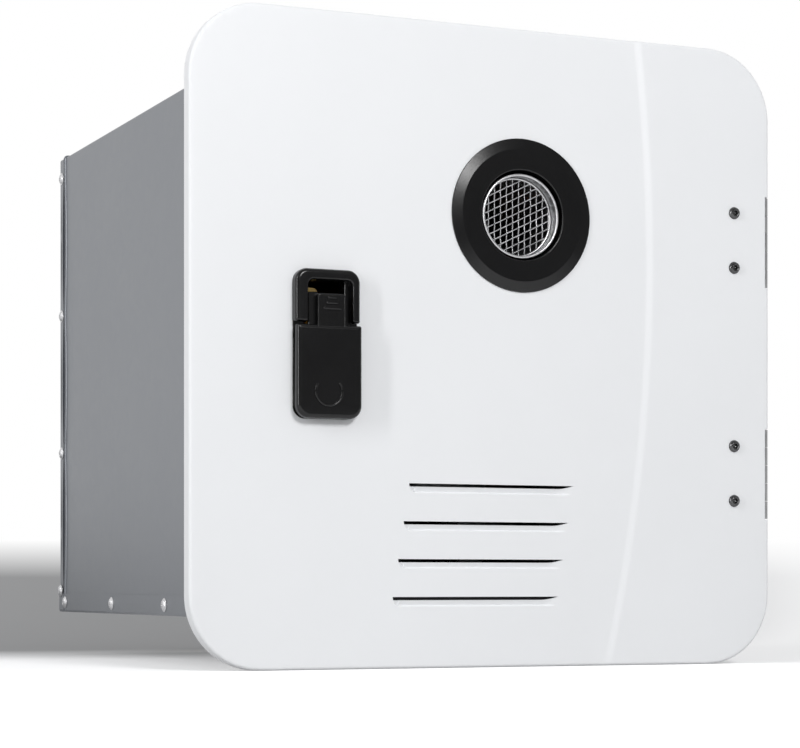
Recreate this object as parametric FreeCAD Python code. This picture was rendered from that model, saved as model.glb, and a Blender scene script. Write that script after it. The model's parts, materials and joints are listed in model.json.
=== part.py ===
import FreeCAD, Part
import math
import os

from FreeCAD import Vector

# Recessed tankless propane water heater for a camper's side wall.
# Millimetres, +Z up, +Y into the wall, +X to the right seen from outside.
# The origin is the centre of the mounting flange's back face, which lies on the wall.

# Housing of galvanised sheet; the frame and the door are sized from it
HOUSING_SIZE = 320.0
HOUSING_DEPTH = 365.2
SHEET = 0.8
TRAY_SIDE_HEIGHT = 12.0
TRAY_SCREW_Z = 5.9
TRAY_SCREW_COUNT = 4
TRAY_SCREW_FRONT = 12.8
TRAY_SCREW_REAR = 15.6
REAR_LAP = 13.4
REAR_BOW = 2.6
REAR_SCREW_CORNER = 14.0
REAR_SCREW_INNER = 48.6
REAR_SCREW_INSET = 4.1
LIP_LAP = 4.0
REAR_SEAM_GAP = 0.52
CASE_SCREW_HEAD_R = 4.3
CASE_SCREW_HEAD_H = 1.8
CASE_SCREW_R = 1.9
CASE_SCREW_LENGTH = 5.0

# Access door, which stands over the flange all round
DOOR_OVERHANG = 7.5
DOOR_CORNER_R = 43.0
DOOR_RIM_DEPTH = 8.4
DOOR_WALL = 2.5
DOOR_EDGE_R = 2.0
DOOR_BACK_GAP = 2.0
CREASE_RAISE = 0.8
CREASE_BEVEL = 3.5
CREASE_INSET = 86.8
CREASE_Z = 55.0
CREASE_R = 1035.0
RIB_THICK = 1.6
RIB_HEIGHT = 3.0
RIB_LEFT_X = -40.0
RIB_LOW_Z = -62.0
RIB_RIGHT_INSET = 36.5
RIB_TOP_INSET = 11.5
RIB_CLEAR = 4.0

# Louvres in the door, the first one given by its height over the door's lower edge
LOUVRE_COUNT = 4
LOUVRE_TOP_UP = 108.5
LOUVRE_PITCH = 22.2
LOUVRE_HEIGHT = 5.0
LOUVRE_SLOT = 1.8
LOUVRE_LENGTH = 108.6
LOUVRE_X = -0.9
LOUVRE_SHIFT = -3.5
LOUVRE_END_LEFT = 3.7
LOUVRE_END_RIGHT = 4.8
LOUVRE_DEPTH = 2.0

# Mounting frame and the seal on it
FLANGE_LIP = 23.0
FLANGE_CORNER_R = 36.0
FLANGE_THICK = 1.5
FLANGE_INNER_LIP = 16.0
FLANGE_OPENING_R = 10.0
COLLAR_DEPTH = 15.0
COLLAR_THICK = 1.2
SCREW_HOLE_R = 2.3
CORNER_HOLE_OUT = 4.0
EDGE_HOLE_OUT = 11.5
EDGE_HOLE_OFFSET = 82.0
SEAL_WIDTH = 7.0
SEAL_SETBACK = 6.0
SEAL_GAP = 0.3

# Hinges
HINGE_LENGTH = 56.0
HINGE_Z = 72.4
HINGE_PIN_INSET = 2.1
HINGE_PIN_Y = -8.5
HINGE_PIN_R = 1.25
HINGE_KNUCKLE_R = 2.5
HINGE_KNUCKLES = 5
HINGE_KNUCKLE_GAP = 0.3
HINGE_LEAF = 1.2
HINGE_SCREW_INSET = 25.3
HINGE_SCREW_OFFSET = 17.0
HINGE_SCREW_HEAD_R = 3.75
HINGE_SCREW_HEAD_H = 2.2
HINGE_SCREW_R = 2.0
HINGE_SOCKET_R = 1.4
HINGE_NUT_R = 3.8
HINGE_NUT_H = 2.6
HINGE_DOOR_LEAF_INSET = 35.5
HINGE_FRAME_LEAF_INSET = 20.0
HINGE_FRAME_SCREW_INSET = 10.0
HINGE_FRAME_HEAD_H = 1.4
HINGE_POCKET_GAP = 0.4
HINGE_NOTCH_WIDTH = 1.4
HINGE_SCREW_PAST_NUT = 1.0

# Screws, running fits, and how far cutters reach past a face or a boss into its root
SOCKET_SHARE = 0.6
SHANK_ROOT_SHARE = 1 / 3
RUNNING = 0.05
OVERCUT = 1.0
EMBED = 1.0

# Exhaust opening: ring on the door, pipe and guard in the cabinet
RING_OFFSET_X = 1.0
RING_OFFSET_Z = 0.5
RING_OUTER_R = 45.0
RING_FLAT_R = 39.5
RING_PROUD = 3.5
RING_HOLE_R = 26.8
RING_COLLAR_R = 32.7
RING_COLLAR_GAP = 0.3
RING_COLLAR_BEHIND = 2.5
PIPE_X = 17.0
PIPE_R = 24.9
PIPE_WALL = 0.9
PIPE_BEAD_R = 0.8
PIPE_FLANGE_R = 31.0
PIPE_FLANGE_THICK = 1.2
FLUE_GASKET_THICK = 1.5
GUARD_RECESS = 9.0
GUARD_THICK = 0.8
GUARD_PITCH_X = 4.0
GUARD_PITCH_Z = 4.6
GUARD_WIRE = 0.8
GUARD_SLOPE_DEG = 26.0
GUARD_RIM = 1.4
GUARD_CELL_MARGIN = 0.5

# Door latch
LATCH_INSET = 81.7
LATCH_WIDTH = 38.4
LATCH_TOP = 40.0
LATCH_BOTTOM = -46.0
LATCH_CORNER_R = 7.5
LATCH_SURROUND_PROUD = 6.0
LATCH_SURROUND_BOTTOM = 7.0
LATCH_SURROUND_ROUND = 1.6
LATCH_WINDOW_WIDTH = 27.0
LATCH_WINDOW_TOP = 33.5
LATCH_BODY_WALL = 2.0
LATCH_BODY_INSET = 4.5
LATCH_BODY_DEPTH = 6.5
LATCH_BASE = 0.5
LATCH_PEDESTAL = 2.2
LATCH_PEDESTAL_TOP = -4.5
LATCH_PEDESTAL_INSET = 0.5
LATCH_THROAT_DROP = 8.6
EAR_THICK = 3.2
EAR_GAP = 0.5
LATCH_PLATE_THICK = 1.2
LATCH_PLATE_SIDE = 2.0
LATCH_PLATE_R = 4.0
LATCH_PLATE_MARGIN = 7.0
LATCH_OPENING_R = 3.0
LATCH_CUP_FLOOR = 1.5
PADDLE_PROUD = 8.4
PADDLE_THICK = 5.0
PADDLE_SKIN = 1.6
PADDLE_SIDE_WALL = 2.2
PADDLE_TOE = 5.2
PADDLE_WEB = 1.0
PADDLE_EAR_ROOM = 2.0
PADDLE_TOP = 4.6
PADDLE_WIDTH = 38.0
PADDLE_ROUND = 2.0
NECK_OFFSET = 1.8
NECK_WIDTH = 17.3
NECK_TOP = 25.9
NECK_THICK = 4.6
NECK_ROOT = 4.0
NECK_RIBS = ((17.1, 11.5), (20.3, 7.5), (23.4, 6.0))
NECK_RIB = 0.7
PIVOT_Z = 1.5
PIVOT_PROUD = 3.8
PIVOT_R = 1.5
PIVOT_BOSS_R = 2.6
HOOK_WIDTH = 6.5
HOOK_OFFSET = 2.7
HOOK_THICK = 2.0
HOOK_ARM_UP = 1.0
HOOK_ARM_HEIGHT = 3.0
HOOK_FOOT_DROP = 4.0
HOOK_REACH_Y = 5.5
HOOK_TOP = 27.5
STRIKE_LIP_Y = 0.8
STRIKE_WIDTH = 16.0
STRIKE_THICK = 1.2
STRIKE_BOTTOM = 21.5
STRIKE_TOP = 33.0
STRIKE_ARM = 8.0
STRIKE_FOOT_UP = 4.0
STRIKE_FOOT_DOWN = 12.0
SPRING_WIRE_R = 0.35
SPRING_TURNS = 2.5
SPRING_GAP = 0.3

# Burner stack behind the exhaust pipe
STACK_WIDTH = 140.0
STACK_FRONT = 62.0
STACK_REAR_SPACE = 103.2
STACK_WALL = 1.0
HOOD_HEIGHT = 64.0
HOOD_SLOPE = 26.0
HOOD_SLOPE_RUN = 78.0
EXCHANGER_HEIGHT = 50.0
BURNER_HEIGHT = 60.0
PLENUM_HEIGHT = 14.0
FIN_COUNT = 30
FIN_END_GAP = 9.85
FIN_THICK = 0.5
FIN_MARGIN = 6.0
TUBE_COUNT = 6
TUBE_PITCH = 20.0
TUBE_R = 6.0
TUBE_WALL = 0.8
TUBE_STUB = 6.0
BAR_COUNT = 8
BAR_WIDTH = 10.0
BAR_HEIGHT = 26.0
BAR_LIFT = 6.0
BAR_SLOTS = 18
BAR_SLOT_WIDTH = 2.5
BAR_WALL = 0.8
BAR_SLOT_INSET = 1.5
NOZZLE_R = 3.0
NOZZLE_BORE_R = 0.6
LEG_THICK = 1.5
LEG_HEIGHT_UP = 30.0
LEG_FOOT = 14.0
LEG_INSET = 20.0
LEG_WINDOW_INSET = 20.0
LEG_WINDOW_UP = 12.0
LEG_WINDOW_DOWN = 8.0
ELECTRODE_X = 35.0
ELECTRODE_DROP = 16.0
ELECTRODE_R = 3.2
ELECTRODE_TIP_R = 0.9
ELECTRODE_FRONT = 16.0
ELECTRODE_INSIDE = 8.0
ELECTRODE_COLLAR_R = 5.4
ELECTRODE_COLLAR = 4.0
ELECTRODE_REACH = 22.0
ELECTRODE_HOOK = 6.0
ELECTRODE_HOOK_BACK = 1.0
THERMAL_R = 8.0
THERMAL_THICK = 5.0
THERMAL_OFFSET = 55.0
THERMAL_CAP_R = 5.5
THERMAL_CAP = 4.0
THERMAL_TAB = 7.0
THERMAL_TAB_WIDTH = 6.0
THERMAL_TAB_THICK = 0.8
THERMAL_TAB_SIDE = 3.0

# Combustion fan
FAN_X = -4.0
FAN_FLOOR_GAP = 6.5
FAN_FRONT = 72.0
FAN_DEPTH = 38.0
FAN_R = 38.0
FAN_WALL = 1.5
FAN_INTAKE_R = 23.0
FAN_DUCT_WIDTH = 30.0
FAN_GAP = 3.0
IMPELLER_R = 30.0
IMPELLER_BLADES = 24
IMPELLER_BLADE = 0.8
IMPELLER_RING = 5.0
IMPELLER_RING_THICK = 1.2
IMPELLER_DISC = 1.5
IMPELLER_HUB_R = 5.5
IMPELLER_HUB = 10.0
IMPELLER_BLADE_TURN = 30.0
FAN_SHAFT_R = 2.5
FAN_SHAFT_CLEAR = 1.0
FAN_SHAFT_IN_MOTOR = 18.0
MOTOR_R = 24.0
MOTOR_DEPTH = 36.0
MOTOR_ROUND = 2.5
MOTOR_NOSE_R = 8.0
MOTOR_NOSE = 4.0
MOTOR_BORE_END = 2.0
SADDLE_WIDTH = 52.0
SADDLE_INSET = 4.0
SADDLE_DROP = 20.9
SADDLE_WALL = 3.0
SADDLE_CROWN = 2.0

# Gas train
GAS_X = 118.0
GAS_UP = 42.0
VALVE_WIDTH = 40.0
VALVE_FRONT = 30.0
VALVE_DEPTH = 50.0
VALVE_HEIGHT = 42.0
VALVE_ROUND = 4.0
VALVE_BOSS = 8.0
VALVE_BOSS_WALL = 3.0
SOLENOID_R = 10.0
SOLENOID_HEIGHT = 24.0
SOLENOID_CAP = 3.0
SOLENOID_SPACING = 22.0
SOLENOID_STAGGER = 12.0
SOLENOID_TAB = 6.0
SOLENOID_TAB_WIDTH = 8.0
SOLENOID_TAB_THICK = 0.8
PLUNGER_R = 3.5
PLUNGER_STROKE = 2.5
PLUNGER_SEAT = 6.0
PLUNGER_SEAT_GAP = 0.1
PLUNGER_TOP_GAP = 0.3
BRACKET_INSET = 2.0
BRACKET_END = 3.0
BRACKET_FOOT = 10.0
GAS_PIPE_R = 6.5
GAS_PIPE_WALL = 1.2
MANIFOLD_R = 6.0
MANIFOLD_WALL = 1.0
MANIFOLD_BEND_R = 8.4
MANIFOLD_DROP = 12.0
MANIFOLD_SOCKET = 4.0
MANIFOLD_MARGIN = 4.0
MANIFOLD_SETBACK = 12.0
MANIFOLD_RISE = 24.0
MANIFOLD_END = 10.0
MANIFOLD_CAP = 2.0
NOZZLE_SEAT = 2.0

# Water train
FITTING_UP = 45.0
FITTING_R = 10.4
FITTING_STICKOUT = 34.0
FITTING_HEX_R = 15.0
FITTING_HEX = 7.0
GAS_FITTING_R = 7.9
FITTING_SHOULDER = 2.5
WATER_PIPE_R = 6.0
WATER_PIPE_WALL = 0.9
WATER_BEND_R = 18.0
RISER_BACK = 46.0
SENSOR_R = 13.0
SENSOR_BORE_R = 10.0
SENSOR_LENGTH = 46.0
SENSOR_UP = 55.0
SENSOR_SPIDER = 2.0
SENSOR_SPINDLE_R = 1.5
SENSOR_END = 5.0
SENSOR_BAR = 2.0
PICKUP_WIDTH = 14.0
PICKUP_HEIGHT = 18.0
PICKUP_OUT = 8.0
PICKUP_SINK = 2.0
ROTOR_R = 9.0
ROTOR_HUB_R = 3.2
ROTOR_LENGTH = 14.0
ROTOR_VANES = 6
ROTOR_VANE = 1.2
DRAIN_R = 3.0
DRAIN_WALL = 2.0
DRAIN_PORT_LENGTH = 8.0
DRAIN_SHANK = 7.0
DRAIN_HEAD_R = 5.0
DRAIN_HEAD = 3.0
DRAIN_WING = 6.0
DRAIN_WING_THICK = 2.5
DRAIN_GAP = 0.4

# Electrical parts
BOX_FRONT = 52.0
BOX_DEPTH = 170.0
BOX_WIDTH = 74.0
BOX_CEILING_GAP = 22.0
BOX_HEIGHT = 86.0
BOX_WALL = 2.0
BOARD_THICK = 1.6
BOARD_MARGIN = 6.0
STANDOFF_R = 3.0
STANDOFF_H = 6.0
STANDOFF_INSET = 6.0
LID_GAP = 0.3
LID_PLUG = 3.0
LID_PLUG_WALL = 1.5

# Parts on the board as height, place and length along it, place and length up it,
# measured from its front edge and its middle
BOARD_BLOCKS = (
    (16.0, 18.0, 24.0, -14.0, 28.0),
    (9.0, 69.0, 20.0, 2.0, 20.0),
    (5.0, 71.0, 30.0, -26.0, 18.0),
)
BOARD_CAN_R = 5.0
BOARD_CAN_HEIGHT = 14.0
BOARD_CAN_COUNT = 3
BOARD_CAN_PITCH = 14.0
BOARD_CAN_END = 24.0
BOARD_CAN_UP = 10.0

# Switch, grommet and igniter
SWITCH_IN = 45.88
SWITCH_UP = 51.6
SWITCH_WIDTH = 15.0
SWITCH_HEIGHT = 21.0
SWITCH_BEZEL = 2.5
SWITCH_PROUD = 1.6
SWITCH_GAP = 0.2
SWITCH_WALL = 1.5
SWITCH_DEPTH = 14.0
SWITCH_FLOOR = 2.0
SWITCH_POST = 0.7
SWITCH_POST_HALF = 2.5
SWITCH_AXLE_R = 1.2
SWITCH_AXLE_IN = 3.0
ROCKER_TILT_DEG = 8.0
ROCKER_GAP = 0.4
ROCKER_FACE_UP = 4.5
ROCKER_BACK_END = 1.5
ROCKER_BACK_MIDDLE = 3.0
GROMMET_R = 9.0
GROMMET_BORE_R = 5.0
GROMMET_GROOVE = 2.0
GROMMET_LIP = 1.5
IGNITER_FRONT = 66.0
IGNITER_DEPTH = 60.0
IGNITER_WIDTH = 36.0
IGNITER_CEILING_GAP = 52.0
IGNITER_HEIGHT = 46.0
IGNITER_EAR = 10.0
IGNITER_EAR_THICK = 2.0
IGNITER_EAR_INSET = 12.0
IGNITER_TOWER_R = 5.0
IGNITER_TOWER = 10.0
IGNITER_TOWER_UPS = (14.0, 32.0)

# Sizes that follow from the housing, outwards to the door
HOUSING_HALF = HOUSING_SIZE / 2
HOUSING_INNER = HOUSING_HALF - SHEET
FLANGE_SIZE = HOUSING_SIZE + 2 * FLANGE_LIP
FLANGE_OPENING = HOUSING_SIZE - 2 * FLANGE_INNER_LIP
CORNER_HOLE_SPACING = HOUSING_SIZE + 2 * CORNER_HOLE_OUT
EDGE_HOLE_SPACING = HOUSING_SIZE + 2 * EDGE_HOLE_OUT
SEAL_CENTRE = FLANGE_OPENING + 2 * SEAL_SETBACK
DOOR_SIZE = FLANGE_SIZE + 2 * DOOR_OVERHANG
DOOR_HALF = DOOR_SIZE / 2

# Places on the door and the flange
CREASE_X = DOOR_HALF - CREASE_INSET
LOUVRE_TOP_Z = LOUVRE_TOP_UP - DOOR_HALF
HINGE_PIN_X = DOOR_HALF - HINGE_PIN_INSET
HINGE_SCREW_X = DOOR_HALF - HINGE_SCREW_INSET
HINGE_DOOR_LEAF_END = DOOR_HALF - HINGE_DOOR_LEAF_INSET
HINGE_FRAME_LEAF_END = FLANGE_SIZE / 2 - HINGE_FRAME_LEAF_INSET
HINGE_FRAME_SCREW_X = FLANGE_SIZE / 2 - HINGE_FRAME_SCREW_INSET
LATCH_X = LATCH_INSET - DOOR_HALF
NECK_X = LATCH_X + NECK_OFFSET
HOOK_X = LATCH_X - HOOK_OFFSET

# Levels along Y, from the wall plane at zero
FLANGE_FRONT = -FLANGE_THICK
DOOR_BACK = -DOOR_BACK_GAP
DOOR_FRONT = DOOR_BACK - DOOR_RIM_DEPTH - CREASE_RAISE
DOOR_HIGH = DOOR_FRONT - CREASE_RAISE
DOOR_INNER = DOOR_FRONT + DOOR_WALL
RING_FRONT = DOOR_FRONT - RING_PROUD
PADDLE_FRONT = DOOR_FRONT - PADDLE_PROUD
SURROUND_FRONT = DOOR_FRONT - LATCH_SURROUND_PROUD
PIVOT_Y = DOOR_FRONT - PIVOT_PROUD
REAR_INNER = HOUSING_DEPTH - SHEET
STACK_DEPTH = HOUSING_DEPTH - STACK_FRONT - STACK_REAR_SPACE
STACK_BACK = STACK_FRONT + STACK_DEPTH
STACK_LEFT = PIPE_X - STACK_WIDTH / 2
STACK_RIGHT = PIPE_X + STACK_WIDTH / 2
RISER_Y = STACK_BACK + RISER_BACK
FIN_PITCH = (STACK_DEPTH - 2 * FIN_END_GAP - FIN_THICK) / (FIN_COUNT - 1)
MANIFOLD_Y = STACK_FRONT - MANIFOLD_DROP
COLD_X = PIPE_X - TUBE_PITCH * (TUBE_COUNT - 1) / 2
HOT_X = PIPE_X + TUBE_PITCH * (TUBE_COUNT - 1) / 2

# Heights, from the floor of the housing up through the burner stack
FLOOR_Z = -HOUSING_HALF
FAN_Z = FLOOR_Z + FAN_FLOOR_GAP + FAN_R
PLENUM_BOTTOM = FAN_Z + FAN_R
BURNER_BOTTOM = PLENUM_BOTTOM + PLENUM_HEIGHT
NOZZLE_Z = BURNER_BOTTOM + BAR_LIFT + BAR_HEIGHT / 2
EXCHANGER_BOTTOM = BURNER_BOTTOM + BURNER_HEIGHT
TUBE_Z = EXCHANGER_BOTTOM + EXCHANGER_HEIGHT / 2
HOOD_BOTTOM = EXCHANGER_BOTTOM + EXCHANGER_HEIGHT
HOOD_TOP = HOOD_BOTTOM + HOOD_HEIGHT
PIPE_Z = (HOOD_BOTTOM + HOOD_TOP) / 2
RING_X = PIPE_X + RING_OFFSET_X
RING_Z = PIPE_Z + RING_OFFSET_Z
GAS_Z = FLOOR_Z + GAS_UP
VALVE_TOP = GAS_Z + VALVE_HEIGHT / 2
VALVE_BOTTOM = GAS_Z - VALVE_HEIGHT / 2
FITTING_Z = FLOOR_Z + FITTING_UP
SENSOR_CENTRE_Z = FITTING_Z + SENSOR_UP
BOX_LEFT = -HOUSING_INNER
BOX_RIGHT = BOX_LEFT + BOX_WIDTH
BOX_TOP = HOUSING_HALF - BOX_CEILING_GAP
BOX_BOTTOM = BOX_TOP - BOX_HEIGHT
IGNITER_BOTTOM = HOUSING_HALF - IGNITER_CEILING_GAP - IGNITER_HEIGHT

X_AXIS = Vector(1, 0, 0)
Y_AXIS = Vector(0, 1, 0)
Z_AXIS = Vector(0, 0, 1)


# Shape helpers

def block(x0, x1, y0, y1, z0, z1):
    return Part.makeBox(x1 - x0, y1 - y0, z1 - z0, Vector(x0, y0, z0))


def rod(radius, start, along, length):
    return Part.makeCylinder(radius, length, start, along)


def pipe(outer, inner, start, along, length):
    return rod(outer, start, along, length).cut(rod(inner, start, along, length))


def fused(shapes):
    first, rest = shapes[0], list(shapes[1:])
    return first.fuse(rest).removeSplitter() if rest else first


def rounded_outline(width, height, radius, centre_x=0.0, centre_z=0.0, y=0.0):
    """Closed wire of a rounded rectangle in the XZ plane."""
    half_x, half_z = width / 2, height / 2
    edges = []
    corners = ((1, 1), (-1, 1), (-1, -1), (1, -1))
    for index, (sx, sz) in enumerate(corners):
        mid = Vector(centre_x + sx * (half_x - radius), y, centre_z + sz * (half_z - radius))
        start_deg = 90.0 * index
        points = [arc_point(mid, radius, start_deg + turn) for turn in (0, 45, 90)]
        if edges:
            edges.append(Part.LineSegment(edges[-1].lastVertex().Point, points[0]).toShape())
        edges.append(Part.Arc(*points).toShape())
    edges.append(Part.LineSegment(edges[-1].lastVertex().Point,
                                  edges[0].firstVertex().Point).toShape())
    return Part.Wire(edges)


def arc_point(centre, radius, degrees):
    angle = math.radians(degrees)
    return centre + Vector(radius * math.cos(angle), 0, radius * math.sin(angle))


def rounded_plate(width, height, radius, y0, y1, centre_x=0.0, centre_z=0.0):
    outline = rounded_outline(width, height, radius, centre_x, centre_z, y0)
    return Part.Face(outline).extrude(Vector(0, y1 - y0, 0))


def prism(points, direction):
    """Solid swept from a closed polygon of points along a vector."""
    return Part.Face(Part.makePolygon(list(points) + [points[0]])).extrude(direction)


def ring_frame(outer, outer_r, inner, inner_r, y0, y1):
    solid = rounded_plate(outer, outer, outer_r, y0, y1)
    return solid.cut(rounded_plate(inner, inner, inner_r, y0, y1))


def edges_on_plane(shape, y):
    """Edges that lie wholly in the plane at one Y level."""
    found = []
    for edge in shape.Edges:
        bounds = edge.BoundBox
        if abs(bounds.YMin - y) < 0.01 and abs(bounds.YMax - y) < 0.01:
            found.append(edge)
    return found


def bent_route(points, radius):
    """Straight runs joined by tangent arcs at each inner point."""
    edges = []
    start = points[0]
    for before, corner, after in zip(points, points[1:], points[2:]):
        leave = (before - corner).normalize()
        head = (after - corner).normalize()
        half = math.acos(max(-1.0, min(1.0, leave.dot(head)))) / 2
        back = radius / math.tan(half)
        first = corner + leave * back
        last = corner + head * back
        middle = corner + (leave + head).normalize() * (radius / math.sin(half) - radius)
        edges.append(Part.LineSegment(start, first).toShape())
        edges.append(Part.Arc(first, middle, last).toShape())
        start = last
    edges.append(Part.LineSegment(start, points[-1]).toShape())
    return Part.Wire(edges)


def bent_pipe(points, bend_radius, outer, wall):
    route = bent_route(points, bend_radius)
    along = points[1] - points[0]
    solids = []
    for radius in (outer, outer - wall):
        profile = Part.Wire(Part.makeCircle(radius, points[0], along))
        solids.append(route.makePipeShell([profile], True, False))
    return solids[0].cut(solids[1])


def hexagon(radius, start, along_y):
    corners = [start + Vector(radius * math.cos(math.radians(60 * k)), 0,
                              radius * math.sin(math.radians(60 * k))) for k in range(6)]
    return prism(corners, Vector(0, along_y, 0))


# Mounting frame

def flange_holes():
    half = CORNER_HOLE_SPACING / 2
    edge = EDGE_HOLE_SPACING / 2
    spots = [(sx * half, sz * half) for sx in (-1, 1) for sz in (-1, 1)]
    spots += [(sx * EDGE_HOLE_OFFSET, sz * edge) for sx in (-1, 1) for sz in (-1, 1)]
    spots += [(sx * edge, 0.0) for sx in (-1, 1)]
    return spots


def make_mounting_frame():
    frame = ring_frame(FLANGE_SIZE, FLANGE_CORNER_R, FLANGE_OPENING, FLANGE_OPENING_R,
                       FLANGE_FRONT, 0.0)
    collar_size = 2 * HOUSING_INNER
    collar = block(-HOUSING_INNER, HOUSING_INNER, 0, COLLAR_DEPTH,
                   -HOUSING_INNER, HOUSING_INNER)
    inner = collar_size / 2 - COLLAR_THICK
    collar = collar.cut(block(-inner, inner, 0, COLLAR_DEPTH, -inner, inner))
    frame = fused([frame, collar]).cut(screw_holes(tray_screw_seats()))
    for x, z in flange_holes():
        frame = frame.cut(rod(SCREW_HOLE_R, Vector(x, FLANGE_FRONT, z), Y_AXIS, FLANGE_THICK))
    for x, z in frame_leaf_screw_spots():
        frame = frame.cut(rod(HINGE_SCREW_R + RUNNING, Vector(x, FLANGE_FRONT, z), Y_AXIS,
                              FLANGE_THICK))
    return frame


def make_frame_gasket():
    front = DOOR_INNER + SEAL_GAP
    outer = SEAL_CENTRE + SEAL_WIDTH
    inner = SEAL_CENTRE - SEAL_WIDTH
    return ring_frame(outer, FLANGE_OPENING_R + SEAL_WIDTH, inner, FLANGE_OPENING_R,
                      front, FLANGE_FRONT)


# Hinges

def hinge_screw_zs():
    return [sign * HINGE_Z + offset for sign in (1, -1)
            for offset in (HINGE_SCREW_OFFSET, -HINGE_SCREW_OFFSET)]


def frame_leaf_screw_spots():
    return [(HINGE_FRAME_SCREW_X, z) for z in hinge_screw_zs()]


def knuckle_spans(middle_z, on_door):
    """Lower and upper Z of each knuckle that one leaf carries."""
    pitch = HINGE_LENGTH / HINGE_KNUCKLES
    bottom = middle_z - HINGE_LENGTH / 2
    spans = []
    for index in range(HINGE_KNUCKLES):
        if (index % 2 == 1) == on_door:
            low = bottom + index * pitch + HINGE_KNUCKLE_GAP / 2
            spans.append((low, low + pitch - HINGE_KNUCKLE_GAP))
    return spans


def knuckle(low, high):
    return rod(HINGE_KNUCKLE_R, Vector(HINGE_PIN_X, HINGE_PIN_Y, low), Z_AXIS, high - low)


def hinge_bore(middle_z):
    bottom = Vector(HINGE_PIN_X, HINGE_PIN_Y, middle_z - HINGE_LENGTH / 2 - OVERCUT)
    return rod(HINGE_PIN_R + RUNNING, bottom, Z_AXIS, HINGE_LENGTH + 2 * OVERCUT)


def make_door_leaf(middle_z):
    low, high = middle_z - HINGE_LENGTH / 2, middle_z + HINGE_LENGTH / 2
    front, back = DOOR_INNER, DOOR_INNER + HINGE_LEAF
    neck_x = HINGE_PIN_X - HINGE_KNUCKLE_R - 2 * HINGE_POCKET_GAP
    pieces = [block(HINGE_DOOR_LEAF_END, neck_x, front, back, low, high)]
    for bottom, top in knuckle_spans(middle_z, True):
        pieces.append(block(neck_x, HINGE_PIN_X, front, back, bottom, top))
        pieces.append(knuckle(bottom, top))
    leaf = fused(pieces).cut(hinge_bore(middle_z))
    for offset in (HINGE_SCREW_OFFSET, -HINGE_SCREW_OFFSET):
        leaf = leaf.cut(rod(HINGE_SCREW_R + RUNNING,
                            Vector(HINGE_SCREW_X, front, middle_z + offset),
                            Y_AXIS, HINGE_LEAF))
    return leaf


def make_frame_leaf(middle_z):
    low, high = middle_z - HINGE_LENGTH / 2, middle_z + HINGE_LENGTH / 2
    web_x0 = HINGE_PIN_X - HINGE_KNUCKLE_R
    web_x1 = web_x0 + HINGE_LEAF
    foot_front = FLANGE_FRONT - HINGE_LEAF
    web_front = HINGE_PIN_Y + HINGE_KNUCKLE_R + HINGE_POCKET_GAP
    pieces = [
        block(web_x0, web_x1, web_front, FLANGE_FRONT, low, high),
        block(HINGE_FRAME_LEAF_END, web_x1, foot_front, FLANGE_FRONT, low, high),
    ]
    for bottom, top in knuckle_spans(middle_z, False):
        pieces.append(block(web_x0, web_x1, HINGE_PIN_Y, web_front, bottom, top))
        pieces.append(knuckle(bottom, top))
    leaf = fused(pieces).cut(hinge_bore(middle_z))
    for offset in (HINGE_SCREW_OFFSET, -HINGE_SCREW_OFFSET):
        leaf = leaf.cut(rod(HINGE_SCREW_R + RUNNING,
                            Vector(HINGE_FRAME_SCREW_X, foot_front, middle_z + offset),
                            Y_AXIS, HINGE_LEAF))
    return leaf


def make_hinge_pin(middle_z):
    start = Vector(HINGE_PIN_X, HINGE_PIN_Y, middle_z - HINGE_LENGTH / 2)
    return rod(HINGE_PIN_R, start, Z_AXIS, HINGE_LENGTH)


def button_screw(x, z, seat_y, head_r, head_h, shank_r, shank_length, socket_r):
    """Domed screw whose head stands in front of its seat and whose shank runs into +Y."""
    dome_r = (head_r ** 2 + head_h ** 2) / (2 * head_h)
    root = head_h * SHANK_ROOT_SHARE
    dome = Part.makeSphere(dome_r, Vector(x, seat_y - head_h + dome_r, z))
    head = dome.common(rod(head_r + OVERCUT, Vector(x, seat_y - head_h, z), Y_AXIS, head_h))
    shank = rod(shank_r, Vector(x, seat_y - root, z), Y_AXIS, shank_length + root)
    socket = hexagon(socket_r, Vector(x, seat_y - head_h, z), head_h * SOCKET_SHARE)
    return fused([head, shank]).cut(socket)


def make_hinge_door_screws():
    length = DOOR_INNER + HINGE_LEAF + HINGE_NUT_H - DOOR_HIGH + HINGE_SCREW_PAST_NUT
    return Part.makeCompound([
        button_screw(HINGE_SCREW_X, z, DOOR_HIGH, HINGE_SCREW_HEAD_R, HINGE_SCREW_HEAD_H,
                     HINGE_SCREW_R, length, HINGE_SOCKET_R) for z in hinge_screw_zs()])


def make_hinge_nuts():
    nuts = []
    for z in hinge_screw_zs():
        start = Vector(HINGE_SCREW_X, DOOR_INNER + HINGE_LEAF, z)
        nut = hexagon(HINGE_NUT_R, start, HINGE_NUT_H)
        nuts.append(nut.cut(rod(HINGE_SCREW_R + RUNNING, start, Y_AXIS, HINGE_NUT_H)))
    return Part.makeCompound(nuts)


def make_hinge_frame_screws():
    seat = FLANGE_FRONT - HINGE_LEAF
    return Part.makeCompound([
        button_screw(x, z, seat, HINGE_SCREW_HEAD_R, HINGE_FRAME_HEAD_H, HINGE_SCREW_R,
                     HINGE_LEAF + FLANGE_THICK, HINGE_SOCKET_R)
        for x, z in frame_leaf_screw_spots()])


# Door panel

def crease_cone():
    """Round body left of the crease; outside it the door's face stands raised."""
    centre = Vector(CREASE_X - CREASE_R, DOOR_FRONT, CREASE_Z)
    return Part.makeCone(CREASE_R, CREASE_R + CREASE_BEVEL, CREASE_RAISE, centre,
                         Vector(0, -1, 0))


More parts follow.
